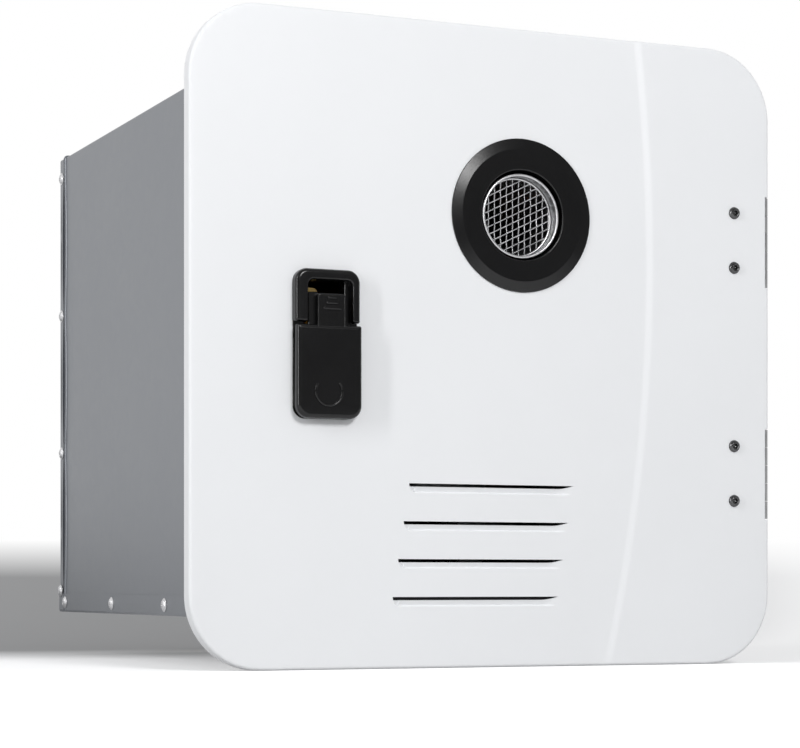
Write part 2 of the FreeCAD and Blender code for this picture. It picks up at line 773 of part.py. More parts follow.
def door_shell():
    outer = rounded_plate(DOOR_SIZE, DOOR_SIZE, DOOR_CORNER_R, DOOR_HIGH, DOOR_BACK)
    outer = outer.makeFillet(DOOR_EDGE_R, edges_on_plane(outer, DOOR_HIGH))
    inner_size = DOOR_SIZE - 2 * DOOR_WALL
    hollow = rounded_plate(inner_size, inner_size, DOOR_CORNER_R - DOOR_WALL,
                           DOOR_INNER, DOOR_BACK)
    return outer.cut(hollow).cut(crease_cone())


def louvre_cut(index):
    top = LOUVRE_TOP_Z - index * LOUVRE_PITCH
    bottom = top - LOUVRE_HEIGHT
    middle = LOUVRE_X + index * LOUVRE_SHIFT
    left, right = middle - LOUVRE_LENGTH / 2, middle + LOUVRE_LENGTH / 2
    outline = prism([Vector(left, DOOR_HIGH, top), Vector(right, DOOR_HIGH, top),
                     Vector(right - LOUVRE_END_RIGHT, DOOR_HIGH, bottom),
                     Vector(left + LOUVRE_END_LEFT, DOOR_HIGH, bottom)],
                    Vector(0, DOOR_INNER - DOOR_HIGH, 0))
    slot_z = top - LOUVRE_SLOT
    ramp_back = DOOR_FRONT + LOUVRE_DEPTH
    section = prism([Vector(left, DOOR_HIGH, bottom), Vector(left, DOOR_FRONT, bottom),
                     Vector(left, ramp_back, slot_z), Vector(left, DOOR_INNER, slot_z),
                     Vector(left, DOOR_INNER, top), Vector(left, DOOR_HIGH, top)],
                    Vector(LOUVRE_LENGTH, 0, 0))
    return outline.common(section)


def hinge_pocket(middle_z):
    """Room in the rim for the knuckles, open to the back and to the right."""
    reach = HINGE_KNUCKLE_R + HINGE_POCKET_GAP
    low = middle_z - HINGE_LENGTH / 2 - HINGE_POCKET_GAP
    length = HINGE_LENGTH + 2 * HINGE_POCKET_GAP
    around = rod(reach, Vector(HINGE_PIN_X, HINGE_PIN_Y, low), Z_AXIS, length)
    behind = block(HINGE_PIN_X - reach, DOOR_HALF + OVERCUT, HINGE_PIN_Y, DOOR_BACK,
                   low, low + length)
    notch = block(DOOR_HALF - HINGE_NOTCH_WIDTH, DOOR_HALF + OVERCUT, DOOR_HIGH, HINGE_PIN_Y,
                  low, low + length)
    return fused([around, behind, notch])


def latch_opening(y0, y1, gap=0.0):
    """The cut-out that the latch body passes through."""
    width = LATCH_WIDTH - 2 * LATCH_BODY_INSET + 2 * gap
    top, bottom = LATCH_TOP - LATCH_BODY_INSET + gap, LATCH_BOTTOM + LATCH_BODY_INSET - gap
    return rounded_plate(width, top - bottom, LATCH_OPENING_R, y0, y1, LATCH_X,
                         (top + bottom) / 2)


def door_ribs():
    """Stiffening ribs behind the face, inside the seal and clear of the openings."""
    reach = (SEAL_CENTRE - SEAL_WIDTH) / 2 - RIB_CLEAR
    back = DOOR_INNER + RIB_HEIGHT
    seal_inner = (SEAL_CENTRE - SEAL_WIDTH) / 2
    ribs = [block(x - RIB_THICK / 2, x + RIB_THICK / 2, DOOR_INNER, back, -reach, reach)
            for x in (RIB_LEFT_X, seal_inner - RIB_RIGHT_INSET)]
    ribs += [block(-reach, reach, DOOR_INNER, back, z - RIB_THICK / 2, z + RIB_THICK / 2)
             for z in (RIB_LOW_Z, seal_inner - RIB_TOP_INSET)]
    ribs = fused(ribs)
    plate_half = LATCH_WIDTH / 2 + LATCH_PLATE_MARGIN
    last = LOUVRE_COUNT - 1
    louvre_half = LOUVRE_LENGTH / 2 + RIB_CLEAR
    clear = [
        rod(RING_COLLAR_R + RIB_CLEAR, Vector(RING_X, DOOR_INNER, RING_Z), Y_AXIS, RIB_HEIGHT),
        block(LATCH_X - plate_half, LATCH_X + plate_half, DOOR_INNER, back,
              LATCH_BOTTOM - LATCH_PLATE_MARGIN, LATCH_TOP + LATCH_PLATE_MARGIN),
        block(LOUVRE_X + last * LOUVRE_SHIFT - louvre_half, LOUVRE_X + louvre_half, DOOR_INNER,
              back, -DOOR_HALF, LOUVRE_TOP_Z + RIB_CLEAR),
    ]
    return ribs.cut(clear)


def make_door_panel():
    door = fused([door_shell(), door_ribs()])
    cuts = [louvre_cut(index) for index in range(LOUVRE_COUNT)]
    cuts += [hinge_pocket(HINGE_Z), hinge_pocket(-HINGE_Z)]
    cuts.append(rod(RING_COLLAR_R + RING_COLLAR_GAP, Vector(RING_X, DOOR_HIGH, RING_Z), Y_AXIS,
                    DOOR_INNER - DOOR_HIGH))
    cuts.append(latch_opening(DOOR_HIGH, DOOR_INNER, RING_COLLAR_GAP))
    for z in hinge_screw_zs():
        cuts.append(rod(HINGE_SCREW_R + RUNNING, Vector(HINGE_SCREW_X, DOOR_HIGH, z), Y_AXIS,
                        DOOR_INNER - DOOR_HIGH))
    return door.cut(cuts)


def make_exhaust_ring():
    back = DOOR_INNER + RING_COLLAR_BEHIND
    profile = [
        (RING_HOLE_R, RING_FRONT), (RING_FLAT_R, RING_FRONT), (RING_OUTER_R, DOOR_FRONT),
        (RING_COLLAR_R, DOOR_FRONT), (RING_COLLAR_R, back), (RING_HOLE_R, back),
    ]
    points = [Vector(RING_X + r, y, RING_Z) for r, y in profile]
    face = Part.Face(Part.makePolygon(points + [points[0]]))
    return face.revolve(Vector(RING_X, 0, RING_Z), Y_AXIS, 360)


# Latch

def latch_inner_half():
    return LATCH_WIDTH / 2 - LATCH_BODY_INSET - LATCH_BODY_WALL


def make_latch_housing():
    """Surround on the face and a box through the door that carries the pivot."""
    height = LATCH_TOP - LATCH_SURROUND_BOTTOM
    wide = LATCH_WIDTH / 2 + OVERCUT
    surround = rounded_plate(LATCH_WIDTH, height + LATCH_CORNER_R, LATCH_CORNER_R,
                             SURROUND_FRONT, DOOR_FRONT, LATCH_X,
                             LATCH_TOP - (height + LATCH_CORNER_R) / 2)
    surround = surround.makeFillet(LATCH_SURROUND_ROUND, edges_on_plane(surround, SURROUND_FRONT))
    surround = surround.cut(block(LATCH_X - wide, LATCH_X + wide, SURROUND_FRONT, DOOR_FRONT,
                                  LATCH_BOTTOM, LATCH_SURROUND_BOTTOM))
    base_front = DOOR_FRONT - LATCH_BASE
    body = latch_opening(base_front, DOOR_INNER + LATCH_BODY_DEPTH)
    base = rounded_plate(LATCH_WIDTH, LATCH_TOP - LATCH_BOTTOM, LATCH_CORNER_R,
                         base_front, DOOR_FRONT, LATCH_X, (LATCH_TOP + LATCH_BOTTOM) / 2)
    pedestal_bottom = LATCH_BOTTOM + LATCH_PEDESTAL_INSET
    pedestal = rounded_plate(LATCH_WIDTH - 2 * LATCH_PEDESTAL_INSET,
                             LATCH_PEDESTAL_TOP - pedestal_bottom, LATCH_CORNER_R,
                             base_front - LATCH_PEDESTAL, DOOR_FRONT, LATCH_X,
                             (LATCH_PEDESTAL_TOP + pedestal_bottom) / 2)
    half = LATCH_WINDOW_WIDTH / 2
    inner = latch_inner_half()
    throat_bottom = PIVOT_Z - LATCH_THROAT_DROP
    window = block(NECK_X - half, NECK_X + half, SURROUND_FRONT - OVERCUT,
                   DOOR_FRONT + OVERCUT, LATCH_SURROUND_BOTTOM - OVERCUT, LATCH_WINDOW_TOP)
    throat = block(LATCH_X - inner, LATCH_X + inner, SURROUND_FRONT,
                   DOOR_INNER + LATCH_BODY_DEPTH, throat_bottom, LATCH_WINDOW_TOP)
    cup = block(LATCH_X - inner, LATCH_X + inner, DOOR_FRONT, DOOR_INNER + LATCH_BODY_DEPTH,
                LATCH_BOTTOM + LATCH_BODY_INSET + LATCH_BODY_WALL,
                throat_bottom - LATCH_CUP_FLOOR)
    housing = fused([surround, body, base, pedestal]).cut([window, throat, cup])
    housing = fused([housing] + [pivot_ear(side) for side in (-1, 1)])
    return housing.cut(pivot_hole())


def pivot_ear(side):
    """Rounded ear beside the throat that holds one end of the pivot pin."""
    start = LATCH_X + side * latch_inner_half() - EAR_THICK / 2
    eye = rod(PIVOT_BOSS_R, Vector(start, PIVOT_Y, PIVOT_Z), X_AXIS, EAR_THICK)
    stem = block(start, start + EAR_THICK, PIVOT_Y, DOOR_FRONT,
                 PIVOT_Z - PIVOT_BOSS_R, PIVOT_Z + PIVOT_BOSS_R)
    return fused([eye, stem])


def pivot_hole():
    return rod(PIVOT_R + RUNNING, Vector(LATCH_X - LATCH_WIDTH, PIVOT_Y, PIVOT_Z), X_AXIS,
               2 * LATCH_WIDTH)


def make_latch_back_plate():
    plate = rounded_plate(LATCH_WIDTH + 2 * LATCH_PLATE_SIDE, LATCH_TOP - LATCH_BOTTOM,
                          LATCH_PLATE_R, DOOR_INNER, DOOR_INNER + LATCH_PLATE_THICK,
                          LATCH_X, (LATCH_TOP + LATCH_BOTTOM) / 2)
    return plate.cut(latch_opening(DOOR_INNER, DOOR_INNER + LATCH_PLATE_THICK,
                                   RING_COLLAR_GAP))


def neck_levels():
    """Front and back of the paddle's neck along Y."""
    front = PADDLE_FRONT + NECK_RIB
    return front, front + NECK_THICK


def make_latch_paddle():
    height = PADDLE_TOP - LATCH_BOTTOM
    back = PADDLE_FRONT + PADDLE_THICK
    half = PADDLE_WIDTH / 2
    plate = rounded_plate(PADDLE_WIDTH, height, LATCH_CORNER_R, PADDLE_FRONT, back,
                          LATCH_X, (PADDLE_TOP + LATCH_BOTTOM) / 2)
    square_top = block(LATCH_X - half, LATCH_X + half, PADDLE_FRONT, back,
                       PADDLE_TOP - LATCH_CORNER_R - EMBED, PADDLE_TOP)
    plate = fused([plate, square_top])
    plate = plate.makeFillet(PADDLE_ROUND, edges_on_plane(plate, PADDLE_FRONT))
    skin_back = PADDLE_FRONT + PADDLE_SKIN
    hollow = block(LATCH_X - half + PADDLE_SIDE_WALL, LATCH_X + half - PADDLE_SIDE_WALL,
                   skin_back, back, LATCH_BOTTOM + PADDLE_TOE,
                   PIVOT_Z - PIVOT_BOSS_R - PADDLE_WEB)
    neck_front, neck_back = neck_levels()
    neck = block(NECK_X - NECK_WIDTH / 2, NECK_X + NECK_WIDTH / 2, neck_front, neck_back,
                 PADDLE_TOP - NECK_ROOT, NECK_TOP)
    ribs = [block(NECK_X - length / 2, NECK_X + length / 2, neck_front - NECK_RIB,
                  neck_front, z - NECK_RIB, z + NECK_RIB) for z, length in NECK_RIBS]
    boss = rod(PIVOT_BOSS_R, Vector(NECK_X - NECK_WIDTH / 2, PIVOT_Y, PIVOT_Z), X_AXIS,
               NECK_WIDTH)
    reach = EAR_THICK / 2 + EAR_GAP
    low = PIVOT_Z - PIVOT_BOSS_R - PADDLE_EAR_ROOM
    high = PADDLE_TOP + OVERCUT
    far = back + 2 * OVERCUT
    ear_room = []
    for side in (-1, 1):
        middle = LATCH_X + side * latch_inner_half()
        ear_room.append(block(middle - reach, middle + reach, skin_back, far, low, high))
    spring_room = block(LATCH_X - latch_inner_half() + reach - EMBED, NECK_X - NECK_WIDTH / 2,
                        skin_back, far, low, high)
    paddle = fused([plate, neck, boss] + ribs).cut([hollow, spring_room] + ear_room)
    return paddle.cut(pivot_hole())


def make_latch_hook():
    """Flat strap from the back of the neck, inwards and up to a nose behind the strike."""
    left, right = HOOK_X - HOOK_WIDTH / 2, HOOK_X + HOOK_WIDTH / 2
    neck_back = neck_levels()[1]
    arm_z = PADDLE_TOP + HOOK_ARM_UP
    foot = block(left, right, neck_back, neck_back + HOOK_THICK, arm_z,
                 NECK_TOP - HOOK_FOOT_DROP)
    arm = block(left, right, neck_back, HOOK_REACH_Y, arm_z, arm_z + HOOK_ARM_HEIGHT)
    eye_z = HOOK_TOP - HOOK_WIDTH / 2
    upright = block(left, right, HOOK_REACH_Y - HOOK_THICK, HOOK_REACH_Y, arm_z, eye_z)
    top = rod(HOOK_WIDTH / 2, Vector(HOOK_X, HOOK_REACH_Y - HOOK_THICK, eye_z), Y_AXIS,
              HOOK_THICK)
    return fused([foot, arm, upright, top])


def make_latch_pin():
    half = latch_inner_half() + EAR_THICK / 2
    return rod(PIVOT_R, Vector(LATCH_X - half, PIVOT_Y, PIVOT_Z), X_AXIS, 2 * half)


def make_latch_spring():
    """Torsion spring round the pin, between the left ear and the paddle's boss."""
    left = LATCH_X - latch_inner_half() + EAR_THICK / 2 + SPRING_GAP + SPRING_WIRE_R
    right = NECK_X - NECK_WIDTH / 2 - SPRING_GAP - SPRING_WIRE_R
    radius = PIVOT_R + SPRING_WIRE_R + SPRING_GAP
    helix = Part.makeLongHelix((right - left) / SPRING_TURNS, right - left, radius)
    profile = Part.Wire(Part.makeCircle(SPRING_WIRE_R, Vector(radius, 0, 0), Y_AXIS))
    coil = helix.makePipeShell([profile], True, True)
    coil.rotate(Vector(0, 0, 0), Y_AXIS, 90)
    coil.translate(Vector(left, PIVOT_Y, PIVOT_Z))
    return coil


def make_strike_clip():
    """Spring steel strip fixed to the flange, its lip in front of the hook's nose."""
    left, right = HOOK_X - STRIKE_WIDTH / 2, HOOK_X + STRIKE_WIDTH / 2
    lip = block(left, right, STRIKE_LIP_Y, STRIKE_LIP_Y + STRIKE_THICK,
                STRIKE_BOTTOM, STRIKE_TOP)
    inner_face = -HOUSING_INNER + COLLAR_THICK
    arm = block(inner_face, right, STRIKE_LIP_Y, STRIKE_LIP_Y + STRIKE_THICK,
                STRIKE_TOP - STRIKE_ARM, STRIKE_TOP)
    foot = block(inner_face, inner_face + STRIKE_THICK, STRIKE_LIP_Y, COLLAR_DEPTH,
                 STRIKE_TOP - STRIKE_FOOT_DOWN, STRIKE_TOP + STRIKE_FOOT_UP)
    return fused([lip, arm, foot])


# Housing

def bow_cut(axis_low, axis_high, edge_y, outward, face):
    """Shallow arc between two screws, taken off a sheet edge; face picks side or top."""
    chord = axis_high - axis_low
    radius = (chord ** 2 / 4 + REAR_BOW ** 2) / (2 * REAR_BOW)
    middle = (axis_low + axis_high) / 2
    centre_y = edge_y + outward * (radius - REAR_BOW)
    wide = 2 * HOUSING_SIZE
    if face == "side":
        return rod(radius, Vector(-wide / 2, centre_y, middle), X_AXIS, wide)
    return rod(radius, Vector(middle, centre_y, -wide / 2), Z_AXIS, wide)


def rear_screw_places():
    """Places of the rear screws along one edge, from its middle."""
    outer = HOUSING_HALF - REAR_SCREW_CORNER
    return [-outer, -REAR_SCREW_INNER, REAR_SCREW_INNER, outer]


def bow_pairs():
    places = rear_screw_places()
    return list(zip(places, places[1:]))


def trim_bows(sheet, edge_y, outward):
    """Scallop the left, right and top sheets between the rear screws."""
    half = HOUSING_HALF
    for low, high in bow_pairs():
        side = bow_cut(low, high, edge_y, outward, "side")
        side_zone = [block(-half, -half + SHEET, 0, HOUSING_DEPTH, low, high),
                     block(half - SHEET, half, 0, HOUSING_DEPTH, low, high)]
        top = bow_cut(low, high, edge_y, outward, "top")
        top_zone = block(low, high, 0, HOUSING_DEPTH, half - SHEET, half)
        sheet = sheet.cut([side.common(zone) for zone in side_zone] + [top.common(top_zone)])
    return sheet


def u_sheet(half, y0, y1, bottom):
    outer = block(-half, half, y0, y1, bottom, half)
    inner = half - SHEET
    return outer.cut(block(-inner, inner, y0, y1, bottom, inner))


def case_screw(seat, out):
    """Screw whose domed head sits on a sheet; out is the direction the head points."""
    dome_r = (CASE_SCREW_HEAD_R ** 2 + CASE_SCREW_HEAD_H ** 2) / (2 * CASE_SCREW_HEAD_H)
    dome = Part.makeSphere(dome_r, seat + out * (CASE_SCREW_HEAD_H - dome_r))
    head = dome.common(rod(CASE_SCREW_HEAD_R + OVERCUT, seat, out, CASE_SCREW_HEAD_H))
    shank = rod(CASE_SCREW_R, seat - out * CASE_SCREW_LENGTH, out,
                CASE_SCREW_LENGTH + CASE_SCREW_HEAD_H * SHANK_ROOT_SHARE)
    return fused([head, shank])


def tray_screw_seats():
    span = HOUSING_DEPTH - TRAY_SCREW_FRONT - TRAY_SCREW_REAR
    seats = []
    for side in (-1, 1):
        for index in range(TRAY_SCREW_COUNT):
            y = TRAY_SCREW_FRONT + span * index / (TRAY_SCREW_COUNT - 1)
            seats.append((Vector(side * (HOUSING_HALF + SHEET), y, FLOOR_Z + TRAY_SCREW_Z),
                          Vector(side, 0, 0)))
    return seats


def rear_screw_seats():
    y = HOUSING_DEPTH - REAR_SCREW_INSET
    seats = []
    for z in rear_screw_places():
        if z < FLOOR_Z + TRAY_SIDE_HEIGHT + CASE_SCREW_HEAD_R:
            continue
        for side in (-1, 1):
            seats.append((Vector(side * HOUSING_HALF, y, z), Vector(side, 0, 0)))
    for x in rear_screw_places():
        seats.append((Vector(x, y, HOUSING_HALF), Z_AXIS))
    return seats


def low_rear_seats():
    """Rear screws low enough to pass through the tray's side flange as well."""
    y = HOUSING_DEPTH - REAR_SCREW_INSET
    return [(Vector(side * (HOUSING_HALF + SHEET), y, z), Vector(side, 0, 0))
            for z in rear_screw_places() if z < FLOOR_Z + TRAY_SIDE_HEIGHT + CASE_SCREW_HEAD_R
            for side in (-1, 1)]


def screw_holes(seats):
    return [rod(CASE_SCREW_R + RUNNING, seat - out * (CASE_SCREW_LENGTH + OVERCUT), out,
                CASE_SCREW_LENGTH + 2 * OVERCUT) for seat, out in seats]


def make_housing_wrap():
    edge = HOUSING_DEPTH - REAR_LAP - REAR_SEAM_GAP
    skin = u_sheet(HOUSING_HALF, 0.0, edge, FLOOR_Z)
    skin = trim_bows(skin, edge, 1)
    lip = u_sheet(HOUSING_INNER, edge - REAR_BOW - LIP_LAP, REAR_INNER, FLOOR_Z)
    wrap = fused([skin, lip])
    return wrap.cut(screw_holes(tray_screw_seats() + rear_screw_seats() + low_rear_seats()))


def make_rear_panel():
    edge = HOUSING_DEPTH - REAR_LAP
    plate = block(-HOUSING_HALF, HOUSING_HALF, REAR_INNER, HOUSING_DEPTH, FLOOR_Z, HOUSING_HALF)
    flange = trim_bows(u_sheet(HOUSING_HALF, edge, HOUSING_DEPTH, FLOOR_Z), edge, -1)
    panel = fused([plate, flange])
    panel = panel.cut(screw_holes(rear_screw_seats() + low_rear_seats()))
    for x, z, radius in fitting_spots():
        panel = panel.cut(rod(radius + RUNNING, Vector(x, REAR_INNER, z), Y_AXIS, SHEET))
    return panel


def make_base_tray():
    outer = HOUSING_HALF + SHEET
    floor = block(-outer, outer, 0, HOUSING_DEPTH, FLOOR_Z - SHEET, FLOOR_Z)
    sides = [block(min(side * HOUSING_HALF, side * outer), max(side * HOUSING_HALF, side * outer),
                   0, HOUSING_DEPTH, FLOOR_Z - SHEET, FLOOR_Z + TRAY_SIDE_HEIGHT)
             for side in (-1, 1)]
    return fused([floor] + sides).cut(screw_holes(tray_screw_seats() + low_rear_seats()))


def make_case_screws():
    seats = tray_screw_seats() + rear_screw_seats() + low_rear_seats()
    return Part.makeCompound([case_screw(seat, out) for seat, out in seats])


# Exhaust

def make_exhaust_pipe():
    start = Vector(PIPE_X, RING_FRONT + PIPE_BEAD_R, PIPE_Z)
    flange_y = STACK_FRONT - FLUE_GASKET_THICK - PIPE_FLANGE_THICK
    length = STACK_FRONT - FLUE_GASKET_THICK - start.y
    tube = rod(PIPE_R, start, Y_AXIS, length)
    flange = rod(PIPE_FLANGE_R, Vector(PIPE_X, flange_y, PIPE_Z), Y_AXIS, PIPE_FLANGE_THICK)
    bead = Part.makeTorus(PIPE_R - PIPE_BEAD_R / 2, PIPE_BEAD_R, start, Y_AXIS)
    bore = rod(PIPE_R - PIPE_WALL, start - Y_AXIS * OVERCUT, Y_AXIS, length + OVERCUT)
    return fused([tube, flange, bead]).cut(bore)


def make_exhaust_guard():
    """Flat guard with slanted openings inside a plain rim, seated in the pipe."""
    y = RING_FRONT + GUARD_RECESS
    outer_r = PIPE_R - PIPE_WALL - RUNNING
    middle = Vector(PIPE_X, y, PIPE_Z)
    disc = Part.Face(Part.Wire(Part.makeCircle(outer_r, middle, Y_AXIS)))
    field = Part.Face(Part.Wire(Part.makeCircle(outer_r - GUARD_RIM, middle, Y_AXIS)))
    slope = math.tan(math.radians(GUARD_SLOPE_DEG))
    half_x = (GUARD_PITCH_X - GUARD_WIRE) / 2
    half_z = (GUARD_PITCH_Z - GUARD_WIRE / math.cos(math.radians(GUARD_SLOPE_DEG))) / 2
    columns = math.ceil(outer_r / GUARD_PITCH_X)
    rows = math.ceil(2 * outer_r / GUARD_PITCH_Z)
    openings = []
    for column in range(-columns, columns + 1):
        x = PIPE_X + column * GUARD_PITCH_X
        for row in range(-rows, rows + 1):
            z = PIPE_Z + row * GUARD_PITCH_Z + (x - PIPE_X) * slope
            if math.hypot(x - PIPE_X, z - PIPE_Z) > outer_r - GUARD_RIM - GUARD_CELL_MARGIN:
                continue
            corners = [Vector(x + sx * half_x, y, z + sx * half_x * slope + sz * half_z)
                       for sx, sz in ((-1, -1), (1, -1), (1, 1), (-1, 1))]
            cell = Part.Face(Part.makePolygon(corners + [corners[0]]))
            openings.append(cell.common(field))
    guard = disc.cut(openings)
    return guard.extrude(Vector(0, GUARD_THICK, 0))


def make_flue_gasket():
    start = Vector(PIPE_X, STACK_FRONT - FLUE_GASKET_THICK, PIPE_Z)
    return pipe(PIPE_FLANGE_R, PIPE_R - PIPE_WALL, start, Y_AXIS, FLUE_GASKET_THICK)


def stack_walls(bottom, top):
    wall = STACK_WALL
    outer = block(STACK_LEFT, STACK_RIGHT, STACK_FRONT, STACK_BACK, bottom, top)
    return outer.cut(block(STACK_LEFT + wall, STACK_RIGHT - wall, STACK_FRONT + wall,
                           STACK_BACK - wall, bottom, top))


def make_flue_hood():
    def section(inset):
        front, back = STACK_FRONT + inset, STACK_BACK - inset
        top = HOOD_TOP - inset
        bottom = HOOD_BOTTOM
        left = STACK_LEFT + inset
        return prism([Vector(left, front, bottom), Vector(left, back, bottom),
                      Vector(left, back, top - HOOD_SLOPE),
                      Vector(left, back - HOOD_SLOPE_RUN, top), Vector(left, front, top)],
                     Vector(STACK_WIDTH - 2 * inset, 0, 0))
    hood = section(0.0).cut(section(STACK_WALL))
    return hood.cut(rod(PIPE_R - PIPE_WALL, Vector(PIPE_X, STACK_FRONT, PIPE_Z), Y_AXIS,
                        STACK_WALL))


# Heat exchanger

def tube_xs():
    return [COLD_X + index * TUBE_PITCH for index in range(TUBE_COUNT)]


def make_exchanger_shell():
    shell = stack_walls(EXCHANGER_BOTTOM, HOOD_BOTTOM)
    return shell.cut([rod(TUBE_R + RUNNING, Vector(x, STACK_FRONT - OVERCUT, TUBE_Z), Y_AXIS,
                          STACK_DEPTH + 2 * OVERCUT) for x in tube_xs()])


def make_exchanger_fins():
    first = STACK_FRONT + (STACK_DEPTH - (FIN_COUNT - 1) * FIN_PITCH - FIN_THICK) / 2
    gap = STACK_WALL + RUNNING
    fin = block(STACK_LEFT + gap, STACK_RIGHT - gap, first, first + FIN_THICK,
                EXCHANGER_BOTTOM + FIN_MARGIN, HOOD_BOTTOM - FIN_MARGIN)
    fin = fin.cut([rod(TUBE_R + RUNNING, Vector(x, first - OVERCUT, TUBE_Z), Y_AXIS,
                       FIN_THICK + 2 * OVERCUT) for x in tube_xs()])
    return Part.makeCompound([fin.translated(Vector(0, index * FIN_PITCH, 0))
                              for index in range(FIN_COUNT)])


def return_bend(x_left, end_y, towards):
    """Half-round tube that joins two neighbouring tubes beyond one end wall."""
    centre = Vector(x_left + TUBE_PITCH / 2, end_y, TUBE_Z)
    circle = Part.makeCircle(TUBE_R, Vector(x_left, end_y, TUBE_Z), Y_AXIS)
    bore = Part.makeCircle(TUBE_R - TUBE_WALL, Vector(x_left, end_y, TUBE_Z), Y_AXIS)
    face = Part.Face([Part.Wire(circle), Part.Wire(bore)])
    return face.revolve(centre, Vector(0, 0, -towards), 180)


def make_exchanger_coil():
    start = STACK_FRONT - TUBE_STUB
    end = STACK_BACK + TUBE_STUB
    pieces = [pipe(TUBE_R, TUBE_R - TUBE_WALL, Vector(x, start, TUBE_Z), Y_AXIS, end - start)
              for x in tube_xs()]
    for index, x in enumerate(tube_xs()[:-1]):
        if index % 2 == 0:
            pieces.append(return_bend(x, start, -1))
        else:
            pieces.append(return_bend(x, end, 1))
    return fused(pieces)


# Burner

def bar_xs():
    pitch = (STACK_WIDTH - 2 * STACK_WALL) / BAR_COUNT
    return [STACK_LEFT + STACK_WALL + pitch * (index + 0.5) for index in range(BAR_COUNT)]


def electrode_spots():
    z = EXCHANGER_BOTTOM - ELECTRODE_DROP
    return [(PIPE_X + ELECTRODE_X, z), (PIPE_X - ELECTRODE_X, z)]


def make_burner_box():
    walls = stack_walls(BURNER_BOTTOM, EXCHANGER_BOTTOM)
    cuts = [rod(NOZZLE_R + RUNNING, Vector(x, STACK_FRONT, NOZZLE_Z), Y_AXIS, STACK_WALL)
            for x in bar_xs()]
    cuts += [rod(ELECTRODE_R + RUNNING, Vector(x, STACK_FRONT, z), Y_AXIS, STACK_WALL)
             for x, z in electrode_spots()]
    return walls.cut(cuts)


def make_burner_bars():
    """Hollow sheet bars with slotted tops, each fed by a nozzle at its front end."""
    front, back = STACK_FRONT + STACK_WALL, STACK_BACK - STACK_WALL
    low = BURNER_BOTTOM + BAR_LIFT
    top = low + BAR_HEIGHT
    pitch = (back - front) / (BAR_SLOTS + 1)
    half = BAR_WIDTH / 2
    bars = []
    for x in bar_xs():
        bar = block(x - half, x + half, front, back, low, top)
        cuts = [block(x - half + BAR_WALL, x + half - BAR_WALL, front + BAR_WALL,
                      back - BAR_WALL, low + BAR_WALL, top - BAR_WALL),
                rod(NOZZLE_R + RUNNING, Vector(x, front, NOZZLE_Z), Y_AXIS, BAR_WALL)]
        for k in range(BAR_SLOTS):
            middle = front + pitch * (k + 1)
            cuts.append(block(x - half + BAR_SLOT_INSET, x + half - BAR_SLOT_INSET,
                              middle - BAR_SLOT_WIDTH / 2, middle + BAR_SLOT_WIDTH / 2,
                              top - BAR_WALL, top))
        bars.append(bar.cut(cuts))
    return Part.makeCompound(bars)


def make_burner_brackets():
    legs = []
    top = BURNER_BOTTOM + LEG_HEIGHT_UP
    front, back = STACK_FRONT + LEG_INSET, STACK_BACK - LEG_INSET
    reach = LEG_THICK + OVERCUT
    for side, face in ((-1, STACK_LEFT), (1, STACK_RIGHT)):
        outer = face + side * LEG_THICK
        leg = block(min(face, outer), max(face, outer), front, back, FLOOR_Z, top)
        foot_end = outer + side * LEG_FOOT
        foot = block(min(outer, foot_end), max(outer, foot_end), front, back,
                     FLOOR_Z, FLOOR_Z + LEG_THICK)
        window = block(face - reach, face + reach, front + LEG_WINDOW_INSET,
                       back - LEG_WINDOW_INSET, FLOOR_Z + LEG_WINDOW_UP,
                       BURNER_BOTTOM - LEG_WINDOW_DOWN)
        legs.append(fused([leg, foot]).cut(window))
    return Part.makeCompound(legs)


def make_air_plenum():
    plenum = stack_walls(PLENUM_BOTTOM, BURNER_BOTTOM)
    floor = block(STACK_LEFT, STACK_RIGHT, STACK_FRONT, STACK_BACK, PLENUM_BOTTOM,
                  PLENUM_BOTTOM + STACK_WALL)
    inner = FAN_DUCT_WIDTH / 2 - FAN_WALL
    middle = FAN_X + FAN_R - FAN_DUCT_WIDTH / 2
    hole = block(middle - inner, middle + inner, FAN_FRONT + FAN_WALL,
                 FAN_FRONT + FAN_DEPTH - FAN_WALL, PLENUM_BOTTOM, PLENUM_BOTTOM + STACK_WALL)
    return fused([plenum, floor]).cut(hole)


def electrode(x, z, hooked):
    """Ceramic body through the burner wall with a metal rod over the flame."""
    start = Vector(x, STACK_FRONT - ELECTRODE_FRONT, z)
    body = rod(ELECTRODE_R, start, Y_AXIS, ELECTRODE_FRONT + ELECTRODE_INSIDE)
    collar = rod(ELECTRODE_COLLAR_R, Vector(x, STACK_FRONT - ELECTRODE_COLLAR, z), Y_AXIS,
                 ELECTRODE_COLLAR)
    tip_y = STACK_FRONT + ELECTRODE_INSIDE
    tip = rod(ELECTRODE_TIP_R, Vector(x, tip_y, z), Y_AXIS, ELECTRODE_REACH)
    pieces = [body, collar, tip]
    if hooked:
        hook_y = tip_y + ELECTRODE_REACH - ELECTRODE_HOOK_BACK
        pieces.append(rod(ELECTRODE_TIP_R, Vector(x, hook_y, z), -Z_AXIS, ELECTRODE_HOOK))
    return fused(pieces)


def make_electrodes():
    """Spark electrode on the right, flame rod on the left."""
    spark, flame = electrode_spots()
    return Part.makeCompound([electrode(*spark, True), electrode(*flame, False)])


